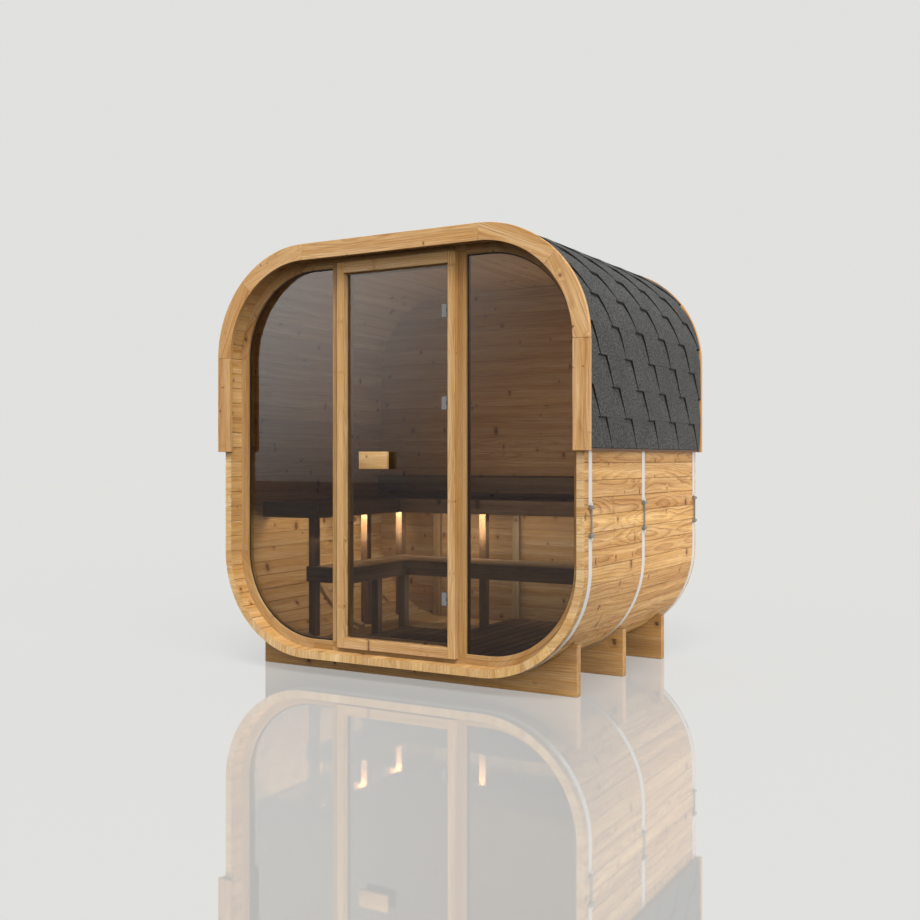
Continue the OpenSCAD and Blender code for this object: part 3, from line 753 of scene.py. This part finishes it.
def shingle_finish():
    """Mineral granules pressed into bitumen: fine grey grit in loose, darker drifts."""
    material, n, shader = new_finish("mineral_shingle")
    place = n.place()
    clumps = n.noise(place, 115.0, 2.0, 0.65)
    grit = n.noise(place, 300.0, 2.0, 0.75)
    drift = n.noise(place, 6.0, 3.0, 0.55)
    shade = n.plus(n.times(clumps, 0.62), n.times(grit, 0.38))
    grey = n.mix(n.between(shade, 0.40, 0.61), (0.021, 0.022, 0.024, 1),
                 (0.160, 0.160, 0.157, 1))
    grey = n.mix(n.between(drift, 0.30, 0.75, 0.0, 0.35), grey, (0.045, 0.047, 0.050, 1))
    n.feed(shader, {"Base Color": grey, "Roughness": n.between(grit, 0.3, 0.7, 0.80, 0.95),
                    "Specular IOR Level": 0.25, "Normal": n.bump(shade, 0.002, 0.8)})
    return material


def bitumen_and_shade_finish():
    """The bare black bitumen of the cut edges, a little uneven; on the sloped lower edges of the
    tabs it is painted shade for the shadow under each step.
    """
    material, n, shader = new_finish("bitumen_edge_and_shade")
    tone = n.mix(n.noise(n.place(), 240.0, 2.0), (0.006, 0.006, 0.007, 1),
                 (0.022, 0.022, 0.023, 1))
    n.feed(shader, {"Base Color": tone, "Roughness": 0.85})
    return material


shingle = shingle_finish()
bitumen = bitumen_and_shade_finish()
tabs = {1: [], -1: []}
draw = random.Random(47)
for course in range(math.ceil((HALF_ROOF + DRIP) / COURSE)):
    way0 = course * COURSE - DRIP
    way1 = min(way0 + COURSE, HALF_ROOF)
    full_rise = TOP_RISE if way0 > SIDE_LEN + ARC_LEN else TAB_RISE
    y = FIRST_TAB - (course % 2) * TAB / 2 - TAB
    while y < ROOF_Y1 + SLANT:
        if y + TAB > ROOF_Y0 + LEAST_TAB:
            for side in (1, -1):
                rise = full_rise * draw.uniform(1 - RISE_SPREAD, 1 + RISE_SPREAD)
                tabs[side].append(shingle_tab(way0, way1, y, rise, course == 0))
        y += TAB

# Tabs cut short at the ends have folded edges, which are closed up; cut edges show bitumen, and
# on the sloped lower edge of each tab that black band is painted shade for the shadow under the
# step
FOLDED = 0.00005
UPPER_FACE = 0.7
for side, name in ((1, "shingles_right"), (-1, "shingles_left")):
    sheet = join(tabs[side], name)
    for vertex in sheet.data.vertices:
        vertex.co.x, vertex.co.z = over_roof(vertex.co.x, vertex.co.z, side)
    if side > 0:
        sheet.data.flip_normals()
    edit_whole(sheet)
    bpy.ops.mesh.dissolve_degenerate(threshold=FOLDED)
    close_edit()
    finish_piece(sheet, shingle, "shingle", "cabin")
    sheet.data.materials.append(bitumen)
    for face in sheet.data.polygons:
        out, off = off_staves(face.center.x, face.center.z)
        face.material_index = 0 if face.normal.dot(out) > UPPER_FACE else 1

# The ridge tabs lie in a row along the middle of the top, each with its front edge raised
# over the back edge of the one before it
RIDGE_W = 0.25
RIDGE_T = 0.010
RIDGE_NOSE = 0.003
RIDGE_EASE = 0.001
ridge_z = SIDE_Z + SHELL_R + TAB_FOOT
ridge_count = math.floor((ROOF_Y1 - ROOF_Y0) / COURSE)
pitch = (ROOF_Y1 - ROOF_Y0) / ridge_count
ridge = []
for k in range(ridge_count):
    front = ROOF_Y0 + k * pitch
    cap = block("ridge_tab", (-RIDGE_W / 2, front, ridge_z),
                (RIDGE_W / 2, front + pitch, ridge_z + RIDGE_T))
    for vertex in cap.data.vertices:
        if vertex.co.z > ridge_z + RIDGE_T / 2 and vertex.co.y < front + pitch / 2:
            vertex.co.z += RIDGE_NOSE
    ridge.append(cap)
ridge_row = join(ridge, "ridge_tabs")
ease_edges(ridge_row, RIDGE_EASE)
finish_piece(ridge_row, shingle, "shingle", "cabin")

# The boarding under the shingles shows at the eaves and the ends
BOARDING_TOP = TAB_FOOT - 0.002
ROOF_NODES = ("roof_left", "roof_top", "roof_right")
boarding = join([whole_faces(node, "roof_boarding") for node in ROOF_NODES], "roof_boarding")
for vertex in boarding.data.vertices:
    out, off = off_staves(vertex.co.x, vertex.co.z)
    vertex.co -= out * max(off - BOARDING_TOP, 0)
finish_piece(boarding, bitumen, "shingle", "cabin", *ROOF_NODES)

# --- Eaves battens ---
# A thin brown stained batten is nailed along the lower edge of the roof on each side, and
# closes the end of the boarding there.
EAVES_EASE = 0.0012
eaves_wood = wood_finish("eaves_brown", (0.17, 0.085, 0.038), (0.09, 0.042, 0.02),
                         (0.05, 0.025, 0.012), ring=0.005, knots=0.1)
dress_boards("eaves_battens", "eaves_strips", EAVES_EASE, 50, eaves_wood, "eaves_wood", along=1)

# --- End trims ---
# Seven spruce boards over the ends of the roof on the front and on the back, sawn to the
# curve and butted at the joints. The grain runs straight along each board.
TRIM_EASE = 0.0018
trim_wood = wood_finish("trim_spruce", (0.80, 0.490, 0.208), (0.42, 0.165, 0.048),
                        (0.13, 0.042, 0.015), ring=0.0075, contrast=0.75, knots=0.95,
                        spread=0.22, knot_size=0.45)
for number, place in enumerate(("front", "back")):
    dress_boards(place + "_trim", place + "_trim_boards", TRIM_EASE, 55 + number, trim_wood,
                 "trim_wood", along="chord", segments=2)
    smooth_curves(20)

# --- Glazing frame ---
# Planed spruce rails and curved corners that hold the fixed glass in a groove, with two
# posts beside the door. The rails are two strips wide, with a fine line between them.
RING_W = 0.048
RING_EASE = 0.0006
RING_JOINT = 0.0002
BEND_STEPS = 30
BEAD_LINE = 0.024
BEAD_CUT = 0.0022
BEAD_STOP = 0.002
GLASS_GROOVE = 0.012
PANE_GAP = 0.0003
frame_wood = wood_finish("frame_spruce", (0.83, 0.545, 0.252), (0.43, 0.180, 0.054),
                         (0.11, 0.040, 0.015), ring=0.0065, contrast=0.85, knots=0.95,
                         spread=0.22, knot_size=0.45)
# The rails and posts get a darker copy of the frame's spruce: painted shade of the recess under
# the roof overhang, where they sit.
rail_wood_shaded = wood_finish("rail_spruce_shaded", (0.66, 0.415, 0.175), (0.35, 0.145, 0.042),
                        (0.10, 0.038, 0.014), ring=0.0065, contrast=0.75, knots=0.75,
                        spread=0.20, knot_size=0.45)
ring_low, ring_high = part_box("glazing_frame")
pane_low, pane_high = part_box("window_right")
RING_INNER_X = ring_high.x - RING_W
MULLION_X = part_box("mullion_right")[1].x
LOW_Z, TOP_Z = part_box("wall_right")[0].z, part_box("wall_right")[1].z
MID_Z = (ring_low.z + ring_high.z) / 2


def strips_round_windows(name, section, ease):
    """Runs a section round both windows: stiles, bent corners and rails to the mullions."""
    centre = Vector((FLAT_X, 0, TOP_Z))
    bend = section(name)
    stile = duplicate(bend, name)
    rail = duplicate(bend, name, about(centre, Matrix.Rotation(-math.pi / 2, 4, "Y")))
    slack = RING_JOINT / (ring_high.x - FLAT_X)
    edit_whole(bend)
    bpy.ops.mesh.spin(steps=BEND_STEPS, angle=math.pi / 2 - slack, center=centre,
                      axis=(0, 1, 0))
    close_welded()
    for piece, by in ((stile, (0, 0, LOW_Z - TOP_Z + RING_JOINT)),
                      (rail, (MULLION_X - FLAT_X, 0, 0))):
        edit_whole(piece)
        bpy.ops.mesh.extrude_region_move(TRANSFORM_OT_translate={"value": by})
        close_welded()
    stile.data.transform(Matrix.Translation((0, 0, -RING_JOINT / 2)))
    pieces = [stile, bend, rail]
    for piece in pieces:
        ease_edges(piece, ease)
    upside_down = about(Vector((0, 0, MID_Z)), Matrix.Scale(-1, 4, (0, 0, 1)))
    pieces += [duplicate(piece, name, upside_down) for piece in (bend, rail)]
    pieces += [duplicate(piece, name, Matrix.Scale(-1, 4, (1, 0, 0))) for piece in pieces]
    return pieces


def frame_section(name):
    """The frame in section: a board with a bead cut along its face and a groove for the glass."""
    bead = ring_high.x - BEAD_LINE
    face_y = ring_low.y
    piece = flat_sheet(name, (RING_INNER_X, face_y), (ring_high.x, ring_high.y), TOP_Z)
    for x in (RING_INNER_X + GLASS_GROOVE, bead - BEAD_CUT / 2, bead + BEAD_CUT / 2):
        cut_plane(piece, (x, 0, 0), (1, 0, 0))
    for y in (face_y + BEAD_CUT, pane_low.y - PANE_GAP, pane_high.y + PANE_GAP):
        cut_plane(piece, (0, y, 0), (0, 1, 0))

    def cut_away(face):
        x, y = face.center.x, face.center.y
        if x < RING_INNER_X + GLASS_GROOVE:
            return pane_low.y - PANE_GAP < y < pane_high.y + PANE_GAP
        return abs(x - bead) < BEAD_CUT / 2 and y < face_y + BEAD_CUT

    pick_faces(piece, cut_away)
    bpy.ops.mesh.delete(type="FACE")
    close_edit()
    return piece


strips = strips_round_windows("glazing_rails", frame_section, RING_EASE)
for z, up in ((ring_low.z, 1), (ring_high.z, -1)):
    rail = whole_faces("glazing_frame", "glazing_rails")
    for side in (-1, 1):
        cut_plane(rail, (side * MULLION_X, 0, 0), (side, 0, 0), clear=True)
    cut_plane(rail, (0, 0, MID_Z), (0, 0, up), clear=True)
    strips.append(rail)
rails = join(strips, "glazing_rails")
smooth_curves(20)
lay_grain(rails, 60, along="chord")
finish_piece(rails, rail_wood_shaded, "frame_wood", "cabin", "glazing_frame")
for number, (node, side) in enumerate((("mullion_left", -1), ("mullion_right", 1))):
    post = whole_faces(node, node + "_post")
    bead = side * (MULLION_X - BEAD_LINE)
    low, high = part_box(node)
    for edge in (-1, 1):
        cut_plane(post, (bead + edge * BEAD_CUT / 2, 0, 0), (1, 0, 0))
    for z in (low.z + BEAD_STOP, high.z - BEAD_STOP):
        cut_plane(post, (0, 0, z), (0, 0, 1))
    push_faces(post, lambda f: f.normal.y < -SQUARE_ON and abs(f.center.x - bead) < BEAD_CUT / 2
               and low.z + BEAD_STOP < f.center.z < high.z - BEAD_STOP, (0, BEAD_CUT, 0))
    ease_edges(post, RING_EASE)
    lay_grain(post, 62 + number, along=2)
    finish_piece(post, rail_wood_shaded, "frame_wood", "cabin", node)

# --- Door frame ---
# Jambs, head and sill of the same planed spruce stand between the mullions, with a stop
# behind the glass door. Their edges are rounded a little more than those of the rails.
DOOR_FRAME_EASE = 0.0025
for number, (node, run) in enumerate((("jamb_left", 2), ("jamb_right", 2),
                                      ("door_head", 0), ("door_sill", 0))):
    dress_boards(node, node + "_board", DOOR_FRAME_EASE, 66 + number, frame_wood, "frame_wood",
                 along=run, segments=2)

# --- Glass ---
# Tempered bronze glass, 8 mm thick: two fixed panes, held in the groove of the frame, and
# the door leaf, which has no frame of its own and hangs by its hinges' clamps.
GLASS_IOR = 1.4
LIGHT_THROUGH = 0.18
BRONZE = (0.54, 0.52, 0.50)


def glass_finish(name, tint):
    """Clear tinted glass that lets the lamps' light through in its own tint."""
    material, n, shader = new_finish(name)
    n.feed(shader, {"Base Color": (*tint, 1), "Roughness": 0.0, "Transmission Weight": 1.0,
                    "IOR": GLASS_IOR})
    face_tint = tuple(math.sqrt(c * LIGHT_THROUGH) for c in tint)
    clear = n.add("BsdfTransparent", {"Color": (*face_tint, 1)})
    path = n.add("LightPath").outputs
    passing = n.math("MAXIMUM", path["Is Shadow Ray"], path["Is Diffuse Ray"])
    both = n.add("MixShader", {0: passing, 1: shader.outputs[0], 2: clear.outputs[0]})
    n.feed(n.tree.nodes["Material Output"], {"Surface": both.outputs[0]})
    return material


pane_glass = glass_finish("bronze_glass_pane", BRONZE)
coat("window_left", pane_glass)
coat("window_right", pane_glass)
coat("door_glass", glass_finish("bronze_glass_leaf", BRONZE))

# --- Gaskets ---
# A strip of black rubber is pressed in along the front of each fixed pane, against the
# rails and the mullion, and seals the glass to its frame.
GASKET_W = 0.0065
GASKET_T = 0.0025
GASKET_IN = 0.002
GASKET_EASE = 0.0005


def rubber_finish():
    """Matt black rubber with a little dust on it."""
    material, n, shader = new_finish("seal_rubber")
    dust = n.noise(n.place(), 160.0, 3.0)
    tone = n.mix(dust, (0.006, 0.006, 0.006, 1), (0.020, 0.019, 0.018, 1))
    n.feed(shader, {"Base Color": tone, "Roughness": n.between(dust, 0.3, 0.7, 0.55, 0.75)})
    return material


def gasket_section(name):
    return flat_sheet(name, (RING_INNER_X - GASKET_W, pane_low.y - GASKET_T),
                      (RING_INNER_X + GASKET_IN, pane_low.y), TOP_Z)


strips = strips_round_windows("window_seals", gasket_section, GASKET_EASE)
for side in (-1, 1):
    x0, x1 = sorted((side * (MULLION_X - GASKET_IN), side * (MULLION_X + GASKET_W)))
    strip = block("window_seals",
                  (x0, pane_low.y - GASKET_T, ring_low.z + RING_W + GASKET_W),
                  (x1, pane_low.y, ring_high.z - RING_W - GASKET_W))
    ease_edges(strip, GASKET_EASE)
    strips.append(strip)
finish_piece(join(strips, "window_seals"), rubber_finish(), "window_glass", "cabin")

# --- Door handle and hinges ---
# The handle is a plain spruce block on each face of the glass. Three stainless hinges hold the
# leaf: clamp plates on the glass and a leaf on the jamb, with a near-black band across them at
# the pin.
HANDLE_EASE = 0.002
PIN_X = (0.2935, 0.330)
handle_wood = wood_finish("handle_spruce", (0.74, 0.47, 0.21), (0.52, 0.28, 0.10),
                          (0.16, 0.07, 0.028), ring=0.006, contrast=0.5, knots=0.2)
dress_boards("door_handle", "handle_blocks", HANDLE_EASE, 75, handle_wood, "frame_wood",
             body="door", along=0, segments=2)
smooth_curves(25)
hinge_steel = steel_finish("hinge_steel_satin", (0.285, 0.285, 0.28), 0.24, (60, 2, 2),
                           fittings=((0.012, 0.012, 0.012), 0, PIN_X))
coat("jamb_hinges", hinge_steel)
coat("door_clamps", hinge_steel)

# --- Benches ---
# Two L-shaped benches of heat-treated planks on posts, legs and bearers, with fascia boards
# along their fronts, a backrest board on spacers and battens on the walls.
BENCH_EASE = 0.0022
STRIP_EASE = 0.0015
bench_wood = wood_finish("bench_brown", (0.28, 0.165, 0.080), (0.15, 0.078, 0.036),
                         (0.06, 0.026, 0.012), ring=0.008, contrast=0.7, knots=0.25,
                         spread=0.2)
post_wood = wood_finish("post_brown", (0.40, 0.225, 0.112), (0.22, 0.110, 0.050),
                        (0.09, 0.036, 0.015), ring=0.006, contrast=0.7, knots=0.2)
strip_wood = wood_finish("strip_spruce", (0.66, 0.41, 0.185), (0.38, 0.175, 0.060),
                         (0.10, 0.04, 0.016), ring=0.006, contrast=0.7, knots=0.2)
for number, (node, name, wood) in enumerate((
        ("upper_bench_top", "upper_bench_planks", bench_wood),
        ("upper_bench_fascia", "upper_bench_boards", bench_wood),
        ("upper_bench_bearers", "upper_bench_rails", bench_wood),
        ("upper_bench_posts", "bench_posts", post_wood),
        ("lower_bench_top", "lower_bench_planks", bench_wood),
        ("lower_bench_fascia", "lower_bench_boards", bench_wood),
        ("lower_bench_frame", "lower_bench_legs", bench_wood),
        ("backrest", "backrest_board", bench_wood))):
    dress_boards(node, name, BENCH_EASE, 80 + number, wood, "bench_wood", segments=2)
dress_boards("wall_battens", "wall_strips", STRIP_EASE, 90, strip_wood, "bench_wood", along=2)

# --- Duckboards ---
# Slats nailed across bearers lie loose on the floor inside the door. They are softwood, in a dark
# brown.
DUCKBOARD_EASE = 0.0018
duckboard_wood = wood_finish("duckboard_dark", (0.20, 0.115, 0.062), (0.11, 0.060, 0.032),
                             (0.04, 0.02, 0.012), ring=0.006, knots=0.15)
dress_boards("duckboards", "duckboard_slats", DUCKBOARD_EASE, 95, duckboard_wood,
             "duckboard_wood")

# --- Bench lamps ---
# Four small round lamps are fixed under the upper bench, beside its posts: a turned metal
# ring round a warm lens, which sits a little way in.
LAMP_SIDES = 32
LAMP_RIM = 0.003
LENS_IN = 0.0015
FACING_DOWN = -0.9
lamp_metal = steel_finish("lamp_metal_satin", (0.80, 0.78, 0.74), 0.3, (4, 4, 4))


def lens_finish():
    """A frosted lens that glows warm, a little unevenly."""
    material, n, shader = new_finish("warm_lens")
    glow = n.mix(n.noise(n.place(), 90.0, 1.0), (1.0, 0.56, 0.22, 1), (1.0, 0.74, 0.42, 1))
    n.feed(shader, {"Base Color": (0.9, 0.7, 0.45, 1), "Emission Color": glow,
                    "Emission Strength": 1.5})
    return material


def boxes_of(node):
    """The low and high corner of each loose piece of a CAD node."""
    whole = whole_faces(node, "measured")
    boxes = []
    for ids in islands(whole.data):
        points = [whole.data.vertices[i].co for i in ids]
        boxes.append((Vector([min(p[axis] for p in points) for axis in range(3)]),
                      Vector([max(p[axis] for p in points) for axis in range(3)])))
    bpy.data.objects.remove(whole)
    return boxes


warm_lens = lens_finish()
lamp_boxes = boxes_of("bench_lamps")
lamps = []
for low, high in lamp_boxes:
    deselect_all()
    bpy.ops.mesh.primitive_cylinder_add(vertices=LAMP_SIDES, radius=(high.x - low.x) / 2,
                                        depth=high.z - low.z, location=(low + high) / 2)
    lamp = bpy.context.object
    bpy.ops.object.transform_apply(location=True, rotation=False, scale=False)
    pick_faces(lamp, lambda f: f.normal.z < FACING_DOWN)
    bpy.ops.mesh.inset(thickness=LAMP_RIM)
    bpy.ops.mesh.extrude_region_move(TRANSFORM_OT_translate={"value": (0, 0, LENS_IN)})
    close_edit()
    lamp.data.materials.append(lamp_metal)
    lamp.data.materials.append(warm_lens)
    for face in lamp.data.polygons:
        lens = face.normal.z < FACING_DOWN and len(face.vertices) == LAMP_SIDES
        face.material_index = 1 if lens else 0
    lamps.append(lamp)
lamp_row = join(lamps, "lamp_row")
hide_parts("bench_lamps")
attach(lamp_row, "cabin")

# --- Camera, floor and lights ---
# The camera stands at a person's chest height, in front and to the right. The floor is pale
# and polished, and two wide soft suns and an even sky light the cabin from the right.
camera = bpy.data.objects.new("camera", bpy.data.cameras.new("camera"))
bpy.context.collection.objects.link(camera)
camera.location = (3.077, -5.421, 1.128)
camera.rotation_euler = (math.radians(90), 0, math.radians(29.91))
camera.data.lens = 43.4
camera.data.sensor_width = 36
camera.data.shift_y = -0.0012
bpy.context.scene.camera = camera

BACKDROP = (0.752, 0.752, 0.737)
FLOOR_SIZE = 80
FLOOR_GLOW = 0.66
FLOOR_LIGHT = 1.16
SHINE_NEAR, SHINE_FAR = 0.37, 0.06
SHINE_FROM_Y, SHINE_TO_Y = 1.2, 3.5
BOUNCE_FROM_X, BOUNCE_TO_X = 0.9, 1.4
BOUNCE_FROM_Y, BOUNCE_TO_Y = -0.8, -0.2
BOUNCE_LOWEST, BOUNCE_MORE = 0.02, 0.85
BOUNCE_TINT = (1.0, 0.93, 0.82)
FLOOR_IN_GLASS = (0.30, 0.31, 0.33, 1)


def cleared(tree):
    """Shorthand for a node tree with all but its output taken out."""
    for node in list(tree.nodes):
        if not node.type.startswith("OUTPUT"):
            tree.nodes.remove(node)
    return Nodes(tree)


def floor_finish():
    """Pale polished floor that throws light back beside the cabin, and hardly in front of it."""
    material = bpy.data.materials.new("studio_floor")
    material.use_nodes = True
    n = cleared(material.node_tree)
    spot = n.split(n.place())
    path = n.add("LightPath").outputs
    matt_tone = tuple(c * (1 - FLOOR_GLOW) / FLOOR_LIGHT for c in BACKDROP)
    matt = n.add("BsdfDiffuse", {"Color": (*matt_tone, 1)})
    glow = n.add("Emission", {"Color": (*BACKDROP, 1), "Strength": FLOOR_GLOW})
    pale = n.add("AddShader", {0: matt.outputs[0], 1: glow.outputs[0]})
    polish = n.add("BsdfAnisotropic", {"Color": (1, 1, 1, 1), "Roughness": 0.02})
    polished = n.between(spot[1], SHINE_FROM_Y, SHINE_TO_Y, SHINE_NEAR, SHINE_FAR)
    seen = n.add("MixShader", {0: polished, 1: pale.outputs[0], 2: polish.outputs[0]})
    beside = n.between(n.math("ABSOLUTE", spot[0]), BOUNCE_FROM_X, BOUNCE_TO_X)
    clear_of_front = n.between(spot[1], BOUNCE_FROM_Y, BOUNCE_TO_Y)
    level = n.line(n.times(beside, clear_of_front), BOUNCE_MORE, BOUNCE_LOWEST)
    bounce = n.add("BsdfDiffuse", {"Color": n.vmath("SCALE", BOUNCE_TINT, scale=level)})
    in_glass = n.add("BsdfDiffuse", {"Color": FLOOR_IN_GLASS})
    lighting = n.add("MixShader", {0: path["Is Diffuse Ray"], 1: seen.outputs[0],
                                   2: bounce.outputs[0]})
    mirrored = n.times(path["Is Glossy Ray"], path["Is Singular Ray"])
    surface = n.add("MixShader", {0: mirrored, 1: lighting.outputs[0], 2: in_glass.outputs[0]})
    n.feed(n.tree.nodes["Material Output"], {"Surface": surface.outputs[0]})
    material.cycles.emission_sampling = "NONE"
    return material


deselect_all()
bpy.ops.mesh.primitive_plane_add(size=FLOOR_SIZE, location=(0, 0, 0))
floor = bpy.context.object
floor.name = "studio_floor"
floor.data.materials.append(floor_finish())

SKY = 0.42
SKY_TINT = (1.0, 0.99, 0.975, 1)
FRONT_AZIMUTH, FRONT_LEVEL = 25, 0.35
SOFT_BOX_AZIMUTH, SOFT_BOX_HEIGHT, SOFT_BOX_LEVEL = 44, 15.5, 6.9
SOFT_BOX_RIM, SOFT_BOX_CORE = 21.5, 5


def towards(azimuth, elevation):
    """The unit vector at an azimuth, turned from the cabin's right, and a height, in degrees."""
    a, e = math.radians(azimuth), math.radians(elevation)
    return Vector((math.cos(a) * math.cos(e), math.sin(a) * math.cos(e), math.sin(e)))


def studio_world():
    """An even sky; the glass mirrors a dimmer front and a soft box at its left."""
    world = bpy.data.worlds.new("studio")
    world.use_nodes = True
    world.cycles.sampling_method = "NONE"
    n = cleared(world.node_tree)
    path = n.add("LightPath").outputs
    way = n.vmath("NORMALIZE", n.add("TexCoord").outputs["Generated"])
    # The azimuths of what the glass mirrors are turned from straight in front to the left
    to_front = n.vmath("DOT_PRODUCT", way, towards(-90 - FRONT_AZIMUTH, 0))
    to_box = n.vmath("DOT_PRODUCT", way, towards(-90 - SOFT_BOX_AZIMUTH, SOFT_BOX_HEIGHT))
    dim_front = n.between(to_front, 0.45, 0.85, 1.0, FRONT_LEVEL)
    soft_box = n.add("MapRange", {0: n.math("ARCCOSINE", to_box), 1: math.radians(SOFT_BOX_RIM),
                                  2: math.radians(SOFT_BOX_CORE), 3: 0.0, 4: SOFT_BOX_LEVEL},
                     interpolation_type="SMOOTHSTEP").outputs[0]
    level = n.between(path["Is Singular Ray"], 0.0, 1.0, 1.0, n.plus(dim_front, soft_box))
    sky = n.add("Background", {"Color": SKY_TINT, "Strength": SKY})
    backdrop = n.add("Background", {"Color": (*BACKDROP, 1), "Strength": 1.0})
    mirrored = n.add("Background", {"Color": (*BACKDROP, 1), "Strength": level})
    seen = n.math("MAXIMUM", path["Is Camera Ray"], path["Is Transmission Ray"])
    unseen = n.add("MixShader", {0: path["Is Glossy Ray"], 1: sky.outputs[0],
                                 2: mirrored.outputs[0]})
    both = n.add("MixShader", {0: seen, 1: unseen.outputs[0], 2: backdrop.outputs[0]})
    n.feed(n.tree.nodes["World Output"], {"Surface": both.outputs[0]})
    return world


bpy.context.scene.world = studio_world()


def new_light(name, kind, place, aim, energy, colour):
    """A light that isn't seen itself, nor mirrored in the glass and the steel."""
    light = bpy.data.objects.new(name, bpy.data.lights.new(name, kind))
    bpy.context.collection.objects.link(light)
    light.location = place
    light.rotation_euler = Vector(aim).to_track_quat("-Z", "Y").to_euler()
    light.data.energy = energy
    light.data.color = colour
    light.visible_camera = False
    light.visible_glossy = False
    light.visible_transmission = False
    return light


def soft_sun(name, azimuth, elevation, spread, level, colour):
    """A wide soft sun; its level is what a white board facing it would show."""
    aim = -towards(azimuth, elevation)
    sun = new_light(name, "SUN", (0, 0, 0), aim, level * math.pi, colour)
    sun.data.angle = math.radians(spread)


def soft_panel(name, place, aim, size, watts, colour, spread=180):
    """A soft panel inside the cabin that lights its walls."""
    panel = new_light(name, "AREA", place, aim, watts, colour)
    panel.data.shape = "RECTANGLE"
    panel.data.size, panel.data.size_y = size
    panel.data.spread = math.radians(spread)


soft_sun("key_sun", -38, 24, 60, 0.53, (1.0, 0.98, 0.94))
soft_sun("top_sun", -60, 60, 25, 0.62, (1.0, 0.99, 0.98))
COOL = (0.88, 0.97, 1.0)
soft_panel("under_left_bench", (-0.78, -0.10, 0.74), (-0.5, 0, -1), (1.2, 0.3), 0.75, COOL)
soft_panel("under_back_bench", (0.15, 0.38, 0.75), (0, 0.3, -1), (1.5, 0.3), 2.6, COOL)
soft_panel("low_back", (0.25, -0.20, 0.30), (0, 1, 0.05), (1.2, 0.1), 0.6, COOL)
soft_panel("low_left", (-0.25, -0.15, 0.30), (-1, 0, 0.05), (0.9, 0.1), 0.5, COOL)
soft_panel("room_fill", (0.28, -0.50, 0.80), (0, 0.75, 0.9), (1.3, 0.12), 4.9,
           (1.0, 0.94, 0.90), spread=130)

# Each lamp gives a small round glow, and lights the post beside it
LAMP_WARM = (1.0, 0.94, 0.76)
POST_WAY, POST_DROP = 0.05, 0.11
POST_GLOW_SIZE = (0.030, 0.16)
POST_GLOW_WATTS = 0.42
LENS_DROP = 0.02
LENS_GLOW_R = 0.012
LENS_GLOW_WATTS = 2.5
for number, (low, high) in enumerate(lamp_boxes):
    x, y = (low.x + high.x) / 2, (low.y + high.y) / 2
    lit_side = -1 if number == 0 else 1
    soft_panel("post_glow_%d" % number, (x, y - lit_side * POST_WAY, low.z - POST_DROP),
               (0, lit_side, -0.2), POST_GLOW_SIZE, POST_GLOW_WATTS, LAMP_WARM)
    glow = new_light("bench_glow_%d" % number, "POINT", (x, y, low.z - LENS_DROP), (0, 0, -1),
                     LENS_GLOW_WATTS, LAMP_WARM)
    glow.data.shadow_soft_size = LENS_GLOW_R

bpy.context.scene.view_settings.view_transform = "Standard"
